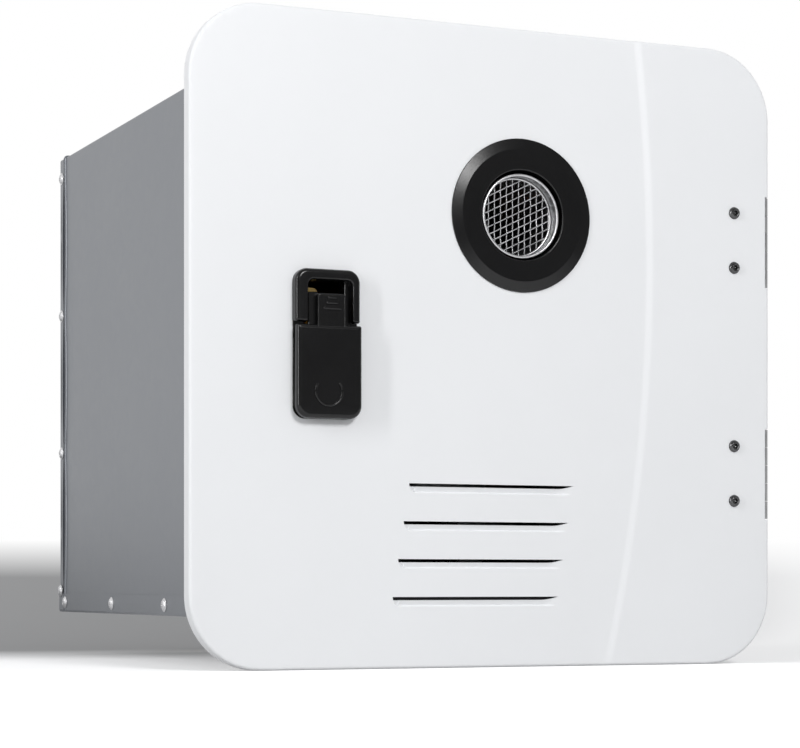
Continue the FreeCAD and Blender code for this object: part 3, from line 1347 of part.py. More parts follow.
def make_thermal_cutouts():
    discs = []
    base_y = STACK_FRONT - THERMAL_THICK
    cap_y = base_y - THERMAL_CAP
    half, width = THERMAL_TAB_THICK / 2, THERMAL_TAB_WIDTH / 2
    for x in (PIPE_X - THERMAL_OFFSET, PIPE_X + THERMAL_OFFSET):
        base = rod(THERMAL_R, Vector(x, base_y, PIPE_Z), Y_AXIS, THERMAL_THICK)
        cap = rod(THERMAL_CAP_R, Vector(x, cap_y, PIPE_Z), Y_AXIS, THERMAL_CAP)
        tabs = [block(x + side - half, x + side + half, cap_y - THERMAL_TAB, cap_y,
                      PIPE_Z - width, PIPE_Z + width)
                for side in (-THERMAL_TAB_SIDE, THERMAL_TAB_SIDE)]
        discs.append(fused([base, cap] + tabs))
    return Part.makeCompound(discs)


# Fan

def fan_body(inset, y0, y1):
    radius = FAN_R - inset
    drum = rod(radius, Vector(FAN_X, y0, FAN_Z), Y_AXIS, y1 - y0)
    duct = block(FAN_X + FAN_R - FAN_DUCT_WIDTH + inset, FAN_X + FAN_R - inset, y0, y1,
                 FAN_Z, PLENUM_BOTTOM)
    return fused([drum, duct])


def make_fan_volute():
    back = FAN_FRONT + FAN_DEPTH
    body = fan_body(0.0, FAN_FRONT, back)
    body = body.cut(fan_body(FAN_WALL, FAN_FRONT + FAN_WALL, back - FAN_WALL))
    intake = rod(FAN_INTAKE_R, Vector(FAN_X, FAN_FRONT, FAN_Z), Y_AXIS, FAN_WALL)
    shaft_hole = rod(FAN_SHAFT_R + FAN_SHAFT_CLEAR, Vector(FAN_X, back - FAN_WALL, FAN_Z),
                     Y_AXIS, FAN_WALL)
    return body.cut([intake, shaft_hole])


def impeller_span():
    return FAN_FRONT + FAN_WALL + FAN_GAP, FAN_FRONT + FAN_DEPTH - FAN_WALL - FAN_GAP


def make_fan_impeller():
    front, back = impeller_span()
    hub_start = Vector(FAN_X, back - IMPELLER_HUB, FAN_Z)
    disc = rod(IMPELLER_R, Vector(FAN_X, back - IMPELLER_DISC, FAN_Z), Y_AXIS, IMPELLER_DISC)
    ring = pipe(IMPELLER_R, IMPELLER_R - IMPELLER_RING, Vector(FAN_X, front, FAN_Z), Y_AXIS,
                IMPELLER_RING_THICK)
    hub = rod(IMPELLER_HUB_R, hub_start, Y_AXIS, IMPELLER_HUB)
    root_x = FAN_X + IMPELLER_R - IMPELLER_RING
    rim = rod(IMPELLER_R, Vector(FAN_X, front, FAN_Z), Y_AXIS, back - front)
    blades = []
    for index in range(IMPELLER_BLADES):
        blade = block(root_x, FAN_X + IMPELLER_R, front, back,
                      FAN_Z - IMPELLER_BLADE / 2, FAN_Z + IMPELLER_BLADE / 2)
        blade.rotate(Vector(root_x, 0, FAN_Z), Y_AXIS, IMPELLER_BLADE_TURN)
        blade.rotate(Vector(FAN_X, 0, FAN_Z), Y_AXIS, 360.0 * index / IMPELLER_BLADES)
        blades.append(blade.common(rim))
    wheel = fused([disc, ring, hub] + blades)
    return wheel.cut(rod(FAN_SHAFT_R + RUNNING / 2, hub_start, Y_AXIS, IMPELLER_HUB))


def make_fan_shaft():
    start = Vector(FAN_X, impeller_span()[1] - IMPELLER_HUB, FAN_Z)
    return rod(FAN_SHAFT_R, start, Y_AXIS,
               FAN_FRONT + FAN_DEPTH + FAN_SHAFT_IN_MOTOR - start.y)


def make_fan_motor():
    start = Vector(FAN_X, FAN_FRONT + FAN_DEPTH, FAN_Z)
    can = rod(MOTOR_R, start, Y_AXIS, MOTOR_DEPTH)
    can = can.makeFillet(MOTOR_ROUND, edges_on_plane(can, start.y + MOTOR_DEPTH))
    nose = rod(MOTOR_NOSE_R, start + Y_AXIS * MOTOR_DEPTH, Y_AXIS, MOTOR_NOSE)
    bore = rod(FAN_SHAFT_R + RUNNING, start, Y_AXIS, FAN_SHAFT_IN_MOTOR + MOTOR_BORE_END)
    return fused([can, nose]).cut(bore)


def make_fan_saddle():
    front, back = FAN_FRONT + SADDLE_INSET, FAN_FRONT + FAN_DEPTH - SADDLE_INSET
    half = SADDLE_WIDTH / 2
    saddle = block(FAN_X - half, FAN_X + half, front, back, FLOOR_Z, FAN_Z - SADDLE_DROP)
    saddle = saddle.cut(rod(FAN_R + RUNNING, Vector(FAN_X, front, FAN_Z), Y_AXIS, back - front))
    hollow = block(FAN_X - half + SADDLE_WALL, FAN_X + half - SADDLE_WALL, front + SADDLE_WALL,
                   back - SADDLE_WALL, FLOOR_Z, FAN_Z - FAN_R - SADDLE_CROWN)
    return saddle.cut(hollow)


# Gas train

def solenoid_spots():
    middle = VALVE_FRONT + VALVE_DEPTH / 2
    half = SOLENOID_SPACING / 2
    return [(GAS_X - half, middle - SOLENOID_STAGGER), (GAS_X + half, middle + SOLENOID_STAGGER)]


def make_gas_valve():
    half = VALVE_WIDTH / 2
    body = block(GAS_X - half, GAS_X + half, VALVE_FRONT, VALVE_FRONT + VALVE_DEPTH,
                 VALVE_BOTTOM, VALVE_TOP)
    upright = [edge for edge in body.Edges
               if edge.BoundBox.ZLength > VALVE_HEIGHT / 2]
    body = body.makeFillet(VALVE_ROUND, upright)
    back = VALVE_FRONT + VALVE_DEPTH
    outlet_x, outlet_y = manifold_start()
    outlet = rod(MANIFOLD_R + VALVE_BOSS_WALL, Vector(outlet_x, outlet_y, VALVE_TOP), Z_AXIS,
                 VALVE_BOSS)
    inlet = rod(GAS_PIPE_R + VALVE_BOSS_WALL, Vector(GAS_X, back, GAS_Z), Y_AXIS, VALVE_BOSS)
    body = fused([body, outlet, inlet])
    cuts = [rod(MANIFOLD_R + RUNNING, Vector(outlet_x, outlet_y, VALVE_TOP - MANIFOLD_SOCKET),
                Z_AXIS, VALVE_BOSS + MANIFOLD_SOCKET),
            rod(GAS_PIPE_R + RUNNING, Vector(GAS_X, back, GAS_Z), Y_AXIS, VALVE_BOSS)]
    for x, y in solenoid_spots():
        cuts.append(rod(PLUNGER_R + RUNNING, Vector(x, y, VALVE_TOP - PLUNGER_SEAT), Z_AXIS,
                        PLUNGER_SEAT))
    return body.cut(cuts)


def manifold_start():
    """Place of the valve's outlet, where the manifold starts upwards."""
    x = GAS_X - VALVE_WIDTH / 2 + MANIFOLD_R + MANIFOLD_MARGIN
    return x, MANIFOLD_Y + MANIFOLD_SETBACK


def make_gas_solenoids():
    coils = []
    for x, y in solenoid_spots():
        start = Vector(x, y, VALVE_TOP)
        can = rod(SOLENOID_R, start, Z_AXIS, SOLENOID_HEIGHT)
        can = can.cut(rod(PLUNGER_R + RUNNING, start, Z_AXIS, SOLENOID_HEIGHT - SOLENOID_CAP))
        top = VALVE_TOP + SOLENOID_HEIGHT
        tabs = block(x - SOLENOID_TAB_WIDTH / 2, x + SOLENOID_TAB_WIDTH / 2,
                     y - SOLENOID_TAB_THICK / 2, y + SOLENOID_TAB_THICK / 2,
                     top, top + SOLENOID_TAB)
        coils.append(fused([can, tabs]))
    return Part.makeCompound(coils)


def make_plungers():
    """Both coils are fed together, so their plungers lift as one."""
    bottom = VALVE_TOP - PLUNGER_SEAT + PLUNGER_SEAT_GAP
    top = VALVE_TOP + SOLENOID_HEIGHT - SOLENOID_CAP - PLUNGER_STROKE - PLUNGER_TOP_GAP
    return Part.makeCompound([rod(PLUNGER_R, Vector(x, y, bottom), Z_AXIS, top - bottom)
                              for x, y in solenoid_spots()])


def make_valve_bracket():
    half = VALVE_WIDTH / 2 - BRACKET_INSET
    front, back = VALVE_FRONT + BRACKET_END, VALVE_FRONT + VALVE_DEPTH - BRACKET_END
    plate = block(GAS_X - half, GAS_X + half, front, back, VALVE_BOTTOM - LEG_THICK, VALVE_BOTTOM)
    legs = []
    feet = []
    for side in (-1, 1):
        outer = GAS_X + side * half
        inner = outer - side * LEG_THICK
        toe = outer - side * BRACKET_FOOT
        legs.append(block(min(outer, inner), max(outer, inner), front, back,
                          FLOOR_Z, VALVE_BOTTOM))
        feet.append(block(min(outer, toe), max(outer, toe), front, back,
                          FLOOR_Z, FLOOR_Z + LEG_THICK))
    return fused([plate] + legs + feet)


def make_gas_manifold():
    x, y = manifold_start()
    left = bar_xs()[0] - MANIFOLD_END
    points = [Vector(x, y, VALVE_TOP - MANIFOLD_SOCKET), Vector(x, y, NOZZLE_Z - MANIFOLD_RISE),
              Vector(x, MANIFOLD_Y, NOZZLE_Z), Vector(left, MANIFOLD_Y, NOZZLE_Z)]
    tube = bent_pipe(points, MANIFOLD_BEND_R, MANIFOLD_R, MANIFOLD_WALL)
    cap = rod(MANIFOLD_R, Vector(left, MANIFOLD_Y, NOZZLE_Z), X_AXIS, MANIFOLD_CAP)
    return fused([tube, cap]).cut(
        [rod(NOZZLE_R + RUNNING, Vector(x, MANIFOLD_Y + NOZZLE_SEAT, NOZZLE_Z), Y_AXIS,
             MANIFOLD_R) for x in bar_xs()])


def make_gas_nozzles():
    nozzles = []
    start_y = MANIFOLD_Y + MANIFOLD_R - MANIFOLD_WALL
    for x in bar_xs():
        length = STACK_FRONT + STACK_WALL - start_y
        nozzle = pipe(NOZZLE_R, NOZZLE_BORE_R, Vector(x, start_y, NOZZLE_Z), Y_AXIS, length)
        nozzles.append(nozzle)
    return Part.makeCompound(nozzles)


def make_gas_inlet_pipe():
    start = VALVE_FRONT + VALVE_DEPTH
    return pipe(GAS_PIPE_R, GAS_PIPE_R - GAS_PIPE_WALL, Vector(GAS_X, start, GAS_Z), Y_AXIS,
                REAR_INNER - FITTING_HEX - start)


# Water train

def fitting_spots():
    return [(COLD_X, FITTING_Z, FITTING_R), (HOT_X, FITTING_Z, FITTING_R),
            (GAS_X, GAS_Z, GAS_FITTING_R)]


def rear_fitting(x, z, radius, bore_r):
    """Bulkhead fitting: hexagon inside the panel, nut outside, plain male end."""
    start = Vector(x, REAR_INNER - FITTING_HEX, z)
    barrel = rod(radius, Vector(x, REAR_INNER, z), Y_AXIS, SHEET + FITTING_STICKOUT)
    inner_hex = hexagon(FITTING_HEX_R, start, FITTING_HEX)
    nut = hexagon(FITTING_HEX_R, Vector(x, HOUSING_DEPTH, z), FITTING_HEX)
    body = fused([barrel, inner_hex, nut])
    return body.cut(rod(bore_r, start, Y_AXIS, FITTING_HEX + SHEET + FITTING_STICKOUT))


def drain_mouth():
    """Lower end of the drain port under the cold fitting, behind its nut."""
    y = HOUSING_DEPTH + FITTING_HEX + DRAIN_R + DRAIN_WALL + DRAIN_GAP
    return Vector(COLD_X, y, FITTING_Z - FITTING_R - DRAIN_PORT_LENGTH)


def make_cold_inlet():
    bore_r = WATER_PIPE_R - WATER_PIPE_WALL
    fitting = rear_fitting(COLD_X, FITTING_Z, FITTING_R, bore_r)
    mouth = drain_mouth()
    shoulder = rod(FITTING_R + FITTING_SHOULDER,
                   Vector(COLD_X, HOUSING_DEPTH + FITTING_HEX, FITTING_Z), Y_AXIS,
                   mouth.y + DRAIN_R + DRAIN_WALL + DRAIN_GAP - HOUSING_DEPTH - FITTING_HEX)
    height = FITTING_Z - mouth.z
    port = rod(DRAIN_R + DRAIN_WALL, mouth, Z_AXIS, height)
    hole = rod(DRAIN_R + RUNNING, mouth, Z_AXIS, height)
    start = Vector(COLD_X, REAR_INNER - FITTING_HEX, FITTING_Z)
    bore = rod(bore_r, start, Y_AXIS, FITTING_HEX + SHEET + FITTING_STICKOUT)
    return fused([fitting, shoulder, port]).cut([hole, bore])


def make_drain_plug():
    mouth = drain_mouth()
    wing_z = mouth.z - DRAIN_HEAD
    shank = rod(DRAIN_R, mouth, Z_AXIS, DRAIN_SHANK)
    head = rod(DRAIN_HEAD_R, mouth, -Z_AXIS, DRAIN_HEAD)
    half = DRAIN_WING_THICK / 2
    wing = block(COLD_X - DRAIN_HEAD_R, COLD_X + DRAIN_HEAD_R, mouth.y - half, mouth.y + half,
                 wing_z - DRAIN_WING, wing_z)
    return fused([shank, head, wing])


def make_hot_outlet():
    return rear_fitting(HOT_X, FITTING_Z, FITTING_R, WATER_PIPE_R - WATER_PIPE_WALL)


def make_gas_inlet_fitting():
    return rear_fitting(GAS_X, GAS_Z, GAS_FITTING_R, GAS_PIPE_R - GAS_PIPE_WALL)


def coil_end_y():
    return STACK_BACK + TUBE_STUB


def make_hot_pipe():
    end = REAR_INNER - FITTING_HEX
    points = [Vector(HOT_X, coil_end_y(), TUBE_Z), Vector(HOT_X, RISER_Y, TUBE_Z),
              Vector(HOT_X, RISER_Y, FITTING_Z), Vector(HOT_X, end, FITTING_Z)]
    return bent_pipe(points, WATER_BEND_R, WATER_PIPE_R, WATER_PIPE_WALL)


def sensor_ends():
    return SENSOR_CENTRE_Z - SENSOR_LENGTH / 2, SENSOR_CENTRE_Z + SENSOR_LENGTH / 2


def make_cold_lower_pipe():
    low, high = sensor_ends()
    end = REAR_INNER - FITTING_HEX
    points = [Vector(COLD_X, end, FITTING_Z), Vector(COLD_X, RISER_Y, FITTING_Z),
              Vector(COLD_X, RISER_Y, low)]
    return bent_pipe(points, WATER_BEND_R, WATER_PIPE_R, WATER_PIPE_WALL)


def make_cold_upper_pipe():
    low, high = sensor_ends()
    points = [Vector(COLD_X, RISER_Y, high), Vector(COLD_X, RISER_Y, TUBE_Z),
              Vector(COLD_X, coil_end_y(), TUBE_Z)]
    return bent_pipe(points, WATER_BEND_R, WATER_PIPE_R, WATER_PIPE_WALL)


def make_water_pipes():
    return Part.makeCompound([make_cold_lower_pipe(), make_cold_upper_pipe(), make_hot_pipe()])


def make_flow_sensor():
    low, high = sensor_ends()
    start = Vector(COLD_X, RISER_Y, low)
    end_bore = WATER_PIPE_R - WATER_PIPE_WALL
    body = rod(SENSOR_R, start, Z_AXIS, SENSOR_LENGTH)
    chamber = rod(SENSOR_BORE_R, start + Z_AXIS * SENSOR_END, Z_AXIS,
                  SENSOR_LENGTH - 2 * SENSOR_END)
    through = rod(end_bore, start, Z_AXIS, SENSOR_LENGTH)
    body = body.cut([chamber, through])
    spider_z = (low + SENSOR_END, high - SENSOR_END - SENSOR_SPIDER)
    bars = []
    reach = SENSOR_BORE_R + EMBED
    for z in spider_z:
        bars.append(block(COLD_X - reach, COLD_X + reach, RISER_Y - SENSOR_BAR / 2,
                          RISER_Y + SENSOR_BAR / 2, z, z + SENSOR_SPIDER))
    spindle = rod(SENSOR_SPINDLE_R, Vector(COLD_X, RISER_Y, spider_z[0]), Z_AXIS,
                  spider_z[1] - spider_z[0] + SENSOR_SPIDER)
    pickup = block(COLD_X - PICKUP_WIDTH / 2, COLD_X + PICKUP_WIDTH / 2,
                   RISER_Y + SENSOR_R - PICKUP_SINK, RISER_Y + SENSOR_R + PICKUP_OUT,
                   SENSOR_CENTRE_Z - PICKUP_HEIGHT / 2, SENSOR_CENTRE_Z + PICKUP_HEIGHT / 2)
    return fused([body, spindle, pickup] + bars)


def make_flow_rotor():
    low = SENSOR_CENTRE_Z - ROTOR_LENGTH / 2
    middle = Vector(COLD_X, RISER_Y, low)
    hub = rod(ROTOR_HUB_R, middle, Z_AXIS, ROTOR_LENGTH)
    vanes = []
    for index in range(ROTOR_VANES):
        vane = block(COLD_X + ROTOR_HUB_R - EMBED, COLD_X + ROTOR_R, RISER_Y - ROTOR_VANE / 2,
                     RISER_Y + ROTOR_VANE / 2, low, low + ROTOR_LENGTH)
        vane.rotate(middle, Z_AXIS, 360.0 * index / ROTOR_VANES)
        vanes.append(vane)
    bore = rod(SENSOR_SPINDLE_R + RUNNING, middle, Z_AXIS, ROTOR_LENGTH)
    return fused([hub] + vanes).cut(bore)


# Electrical parts

def board_zone():
    return (BOX_FRONT + BOX_WALL + BOARD_MARGIN, BOX_FRONT + BOX_DEPTH - BOX_WALL - BOARD_MARGIN,
            BOX_BOTTOM + BOX_WALL + BOARD_MARGIN, BOX_TOP - BOX_WALL - BOARD_MARGIN)


def switch_middle():
    return BOX_LEFT + SWITCH_IN, BOX_BOTTOM + SWITCH_UP


def grommet_place():
    return Vector(BOX_LEFT + BOX_WIDTH / 2, BOX_FRONT + BOX_DEPTH / 4, BOX_BOTTOM)


def make_control_box():
    """Box on the left wall, open to the right, with the switch in its front wall."""
    body = block(BOX_LEFT, BOX_RIGHT, BOX_FRONT, BOX_FRONT + BOX_DEPTH, BOX_BOTTOM, BOX_TOP)
    body = body.cut(block(BOX_LEFT + BOX_WALL, BOX_RIGHT, BOX_FRONT + BOX_WALL,
                          BOX_FRONT + BOX_DEPTH - BOX_WALL, BOX_BOTTOM + BOX_WALL,
                          BOX_TOP - BOX_WALL))
    y0, y1, z0, z1 = board_zone()
    posts = [rod(STANDOFF_R, Vector(BOX_LEFT + BOX_WALL, y, z), X_AXIS, STANDOFF_H)
             for y in (y0 + STANDOFF_INSET, y1 - STANDOFF_INSET)
             for z in (z0 + STANDOFF_INSET, z1 - STANDOFF_INSET)]
    body = fused([body] + posts)
    x, z = switch_middle()
    body = body.cut(block(x - SWITCH_WIDTH / 2, x + SWITCH_WIDTH / 2, BOX_FRONT,
                          BOX_FRONT + BOX_WALL, z - SWITCH_HEIGHT / 2, z + SWITCH_HEIGHT / 2))
    return body.cut(rod(GROMMET_R - GROMMET_GROOVE, grommet_place(), Z_AXIS, BOX_WALL))


def make_control_lid():
    lid = block(BOX_RIGHT, BOX_RIGHT + BOX_WALL, BOX_FRONT, BOX_FRONT + BOX_DEPTH,
                BOX_BOTTOM, BOX_TOP)
    inset = BOX_WALL + LID_GAP
    deeper = inset + LID_PLUG_WALL
    start = BOX_RIGHT - LID_PLUG
    plug = block(start, BOX_RIGHT, BOX_FRONT + inset, BOX_FRONT + BOX_DEPTH - inset,
                 BOX_BOTTOM + inset, BOX_TOP - inset)
    plug = plug.cut(block(start, BOX_RIGHT, BOX_FRONT + deeper, BOX_FRONT + BOX_DEPTH - deeper,
                          BOX_BOTTOM + deeper, BOX_TOP - deeper))
    return fused([lid, plug])


def make_circuit_board():
    y0, y1, z0, z1 = board_zone()
    back = BOX_LEFT + BOX_WALL + STANDOFF_H
    board = block(back, back + BOARD_THICK, y0, y1, z0, z1)
    face = back + BOARD_THICK
    middle = (z0 + z1) / 2
    parts = [block(face, face + height, y0 + along, y0 + along + length,
                   middle + up, middle + up + tall)
             for height, along, length, up, tall in BOARD_BLOCKS]
    parts += [rod(BOARD_CAN_R, Vector(face, y1 - BOARD_CAN_END - BOARD_CAN_PITCH * index,
                                      middle + BOARD_CAN_UP), X_AXIS, BOARD_CAN_HEIGHT)
              for index in range(BOARD_CAN_COUNT)]
    return fused([board] + parts)


def make_switch_bezel():
    x, z = switch_middle()
    half_w, half_h = SWITCH_WIDTH / 2, SWITCH_HEIGHT / 2
    front = block(x - half_w - SWITCH_BEZEL, x + half_w + SWITCH_BEZEL,
                  BOX_FRONT - SWITCH_PROUD, BOX_FRONT,
                  z - half_h - SWITCH_BEZEL, z + half_h + SWITCH_BEZEL)
    inner_w, inner_h = half_w - SWITCH_GAP, half_h - SWITCH_GAP
    back = BOX_FRONT + SWITCH_DEPTH
    body = block(x - inner_w, x + inner_w, BOX_FRONT, back, z - inner_h, z + inner_h)
    hollow_w, hollow_h = half_w - SWITCH_WALL, half_h - SWITCH_WALL
    floor = back - SWITCH_FLOOR
    hollow = block(x - hollow_w, x + hollow_w, BOX_FRONT - SWITCH_PROUD, floor,
                   z - hollow_h, z + hollow_h)
    posts = [block(x + side * hollow_w - SWITCH_POST, x + side * hollow_w + SWITCH_POST,
                   BOX_FRONT + EMBED, floor, z - SWITCH_POST_HALF, z + SWITCH_POST_HALF)
             for side in (-1, 1)]
    axle = rod(SWITCH_AXLE_R, Vector(x - half_w + SWITCH_WALL / 2, BOX_FRONT + SWITCH_AXLE_IN, z),
               X_AXIS, SWITCH_WIDTH - SWITCH_WALL)
    return fused([front, body]).cut(hollow).fuse(posts + [axle]).removeSplitter()


def make_switch_rocker():
    """Rocker at rest in its off position, tilted back at the top."""
    x, z = switch_middle()
    clearance = SWITCH_WALL + SWITCH_POST + ROCKER_GAP
    left = x - SWITCH_WIDTH / 2 + clearance
    width = SWITCH_WIDTH - 2 * clearance
    half_h = SWITCH_HEIGHT / 2 - clearance
    axis_y = BOX_FRONT + SWITCH_AXLE_IN
    face = axis_y - ROCKER_FACE_UP
    end_face = face - half_h * math.tan(math.radians(ROCKER_TILT_DEG))
    section = [Vector(left, face, z),
               Vector(left, end_face, z + half_h),
               Vector(left, axis_y + ROCKER_BACK_END, z + half_h),
               Vector(left, axis_y + ROCKER_BACK_MIDDLE, z),
               Vector(left, axis_y + ROCKER_BACK_END, z - half_h),
               Vector(left, end_face, z - half_h)]
    rocker = prism(section, X_AXIS * width)
    rocker = rocker.cut(rod(SWITCH_AXLE_R + RUNNING, Vector(left, axis_y, z), X_AXIS, width))
    rocker.rotate(Vector(x, axis_y, z), X_AXIS, -ROCKER_TILT_DEG)
    return rocker


def make_cable_grommet():
    start = grommet_place()
    middle = rod(GROMMET_R - GROMMET_GROOVE - RUNNING, start, Z_AXIS, BOX_WALL)
    lower = rod(GROMMET_R, start, -Z_AXIS, GROMMET_LIP)
    upper = rod(GROMMET_R, start + Z_AXIS * BOX_WALL, Z_AXIS, GROMMET_LIP)
    hole = rod(GROMMET_BORE_R, start - Z_AXIS * GROMMET_LIP, Z_AXIS, BOX_WALL + 2 * GROMMET_LIP)
    return fused([middle, lower, upper]).cut(hole)


def make_igniter_module():
    right = HOUSING_INNER
    left = right - IGNITER_WIDTH
    back = IGNITER_FRONT + IGNITER_DEPTH
    top = IGNITER_BOTTOM + IGNITER_HEIGHT
    body = block(left, right, IGNITER_FRONT, back, IGNITER_BOTTOM, top)
    ears = block(right - IGNITER_EAR_THICK, right, IGNITER_FRONT - IGNITER_EAR,
                 back + IGNITER_EAR, IGNITER_BOTTOM + IGNITER_EAR_INSET, top - IGNITER_EAR_INSET)
    towers = [rod(IGNITER_TOWER_R, Vector(left + IGNITER_WIDTH / 2, IGNITER_FRONT,
                                          IGNITER_BOTTOM + up), -Y_AXIS, IGNITER_TOWER)
              for up in IGNITER_TOWER_UPS]
    return fused([body, ears] + towers)


def pair(make_at):
    """The same piece at the upper and the lower hinge."""
    return Part.makeCompound([make_at(HINGE_Z), make_at(-HINGE_Z)])


def build_nodes():
    return {
        "door_panel": make_door_panel(),
        "exhaust_ring": make_exhaust_ring(),
        "hinge_door_leaves": pair(make_door_leaf),
        "hinge_door_screws": make_hinge_door_screws(),
        "hinge_nuts": make_hinge_nuts(),
        "latch_housing": make_latch_housing(),
        "latch_back_plate": make_latch_back_plate(),
        "latch_pin": make_latch_pin(),
        "latch_spring": make_latch_spring(),
        "latch_paddle": make_latch_paddle(),
        "latch_hook": make_latch_hook(),
        "mounting_frame": make_mounting_frame(),
        "frame_gasket": make_frame_gasket(),
        "strike_clip": make_strike_clip(),
        "hinge_frame_leaves": pair(make_frame_leaf),
        "hinge_pins": pair(make_hinge_pin),
        "hinge_frame_screws": make_hinge_frame_screws(),
        "housing_wrap": make_housing_wrap(),
        "base_tray": make_base_tray(),
        "rear_panel": make_rear_panel(),
        "case_screws": make_case_screws(),
        "exhaust_pipe": make_exhaust_pipe(),
        "exhaust_guard": make_exhaust_guard(),
        "flue_gasket": make_flue_gasket(),
        "flue_hood": make_flue_hood(),
        "heat_exchanger_shell": make_exchanger_shell(),
        "heat_exchanger_fins": make_exchanger_fins(),
        "heat_exchanger_coil": make_exchanger_coil(),
        "burner_box": make_burner_box(),
        "burner_bars": make_burner_bars(),
        "burner_brackets": make_burner_brackets(),
        "air_plenum": make_air_plenum(),
        "electrodes": make_electrodes(),
        "thermal_cutouts": make_thermal_cutouts(),
        "fan_volute": make_fan_volute(),
        "fan_impeller": make_fan_impeller(),
        "fan_shaft": make_fan_shaft(),
        "fan_motor": make_fan_motor(),
        "fan_saddle": make_fan_saddle(),
        "gas_valve_body": make_gas_valve(),
        "gas_solenoids": make_gas_solenoids(),
        "valve_plungers": make_plungers(),
        "valve_bracket": make_valve_bracket(),
        "gas_manifold": make_gas_manifold(),
        "gas_nozzles": make_gas_nozzles(),
        "gas_inlet_pipe": make_gas_inlet_pipe(),
        "gas_inlet_fitting": make_gas_inlet_fitting(),
        "cold_inlet_fitting": make_cold_inlet(),
        "drain_plug": make_drain_plug(),
        "hot_outlet_fitting": make_hot_outlet(),
        "water_pipes": make_water_pipes(),
        "flow_sensor_body": make_flow_sensor(),
        "flow_sensor_rotor": make_flow_rotor(),
        "control_box": make_control_box(),
        "control_box_lid": make_control_lid(),
        "circuit_board": make_circuit_board(),
        "switch_bezel": make_switch_bezel(),
        "switch_rocker": make_switch_rocker(),
        "cable_grommet": make_cable_grommet(),
        "igniter_module": make_igniter_module(),
    }


def main():
    os.makedirs("parts", exist_ok=True)
    for name, shape in build_nodes().items():
        shape.exportStep(os.path.join("parts", name + ".step"))
        print(name, len(shape.Solids), shape.isValid(), round(shape.Volume))


main()
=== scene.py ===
import json
import math

import bmesh
import bpy
from mathutils import Matrix, Vector
from mathutils.geometry import delaunay_2d_cdt

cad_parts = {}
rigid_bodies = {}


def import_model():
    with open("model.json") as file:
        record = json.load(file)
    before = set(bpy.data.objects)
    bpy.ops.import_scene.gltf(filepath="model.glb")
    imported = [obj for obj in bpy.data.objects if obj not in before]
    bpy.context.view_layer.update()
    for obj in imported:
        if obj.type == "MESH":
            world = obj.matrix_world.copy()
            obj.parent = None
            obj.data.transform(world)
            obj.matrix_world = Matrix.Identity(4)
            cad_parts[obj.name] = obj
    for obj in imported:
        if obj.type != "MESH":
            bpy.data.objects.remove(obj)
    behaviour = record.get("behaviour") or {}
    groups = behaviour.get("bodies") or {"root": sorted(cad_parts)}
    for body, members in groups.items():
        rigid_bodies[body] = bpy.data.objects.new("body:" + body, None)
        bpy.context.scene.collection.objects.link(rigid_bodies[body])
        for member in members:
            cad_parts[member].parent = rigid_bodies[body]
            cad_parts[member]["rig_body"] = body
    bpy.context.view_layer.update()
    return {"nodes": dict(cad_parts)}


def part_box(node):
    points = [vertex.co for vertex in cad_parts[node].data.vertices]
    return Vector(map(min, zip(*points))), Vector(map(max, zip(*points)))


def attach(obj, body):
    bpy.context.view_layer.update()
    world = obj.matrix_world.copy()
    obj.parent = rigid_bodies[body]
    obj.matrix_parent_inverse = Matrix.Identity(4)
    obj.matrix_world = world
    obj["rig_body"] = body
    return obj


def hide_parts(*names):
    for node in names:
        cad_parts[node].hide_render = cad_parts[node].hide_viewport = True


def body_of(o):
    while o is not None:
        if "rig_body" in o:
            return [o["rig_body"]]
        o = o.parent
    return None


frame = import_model()

MM = 0.001
SHARP_ANGLE = math.radians(38.0)

# Camera at the photograph's viewing angle
CAMERA_PLACE = (-0.6253, -1.3019, -0.14006)
CAMERA_TURN = -23.614
CAMERA_LENS = 108.5
CAMERA_SHIFT_Y = 0.2605


# Frame boxes in millimetres

def node_box(name):
    low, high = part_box(name)
    return Vector(low) / MM, Vector(high) / MM


DOOR_LOW, DOOR_HIGH = node_box("door_panel")
RING_LOW, RING_HIGH = node_box("exhaust_ring")
PIPE_HIGH = node_box("exhaust_pipe")[1]
GUARD_LOW, GUARD_HIGH = node_box("exhaust_guard")
LATCH_LOW, LATCH_HIGH = node_box("latch_housing")
PADDLE_LOW, PADDLE_HIGH = node_box("latch_paddle")
HOOK_LOW, HOOK_HIGH = node_box("latch_hook")
PINS_LOW, PINS_HIGH = node_box("hinge_pins")
WRAP_LOW = node_box("housing_wrap")[0]
REAR_LOW, REAR_HIGH = node_box("rear_panel")
TRAY_LOW, TRAY_HIGH = node_box("base_tray")

# Door panel
DOOR_HALF = DOOR_HIGH.x
DOOR_CORNER_R = 43.0
DOOR_EDGE_R = 2.0
DOOR_RAISED_Y = DOOR_LOW.y
CREASE_RAISE = 0.8
DOOR_FACE_Y = DOOR_RAISED_Y + CREASE_RAISE
DOOR_INNER_Y = DOOR_FACE_Y + 2.5
DOOR_BACK_Y = DOOR_HIGH.y
DOOR_WALL = 2.5
INNER_FILLET = 1.2
EDGE_PITCH, FACE_PITCH, BACK_PITCH = 3.0, 5.5, 14.0
CREASE_X = DOOR_HALF - 86.8
CREASE_Z = 55.0
CREASE_R = 1035.0
CREASE_SOFT = (-1.4, 4.9)
RIB_THICK = 1.6
RIB_HEIGHT = 3.0
RIB_ROOT = 0.3
RIB_XS = (-40.0, 110.0)
RIB_ZS = (-62.0, 135.0)
RIB_REACH = 142.5

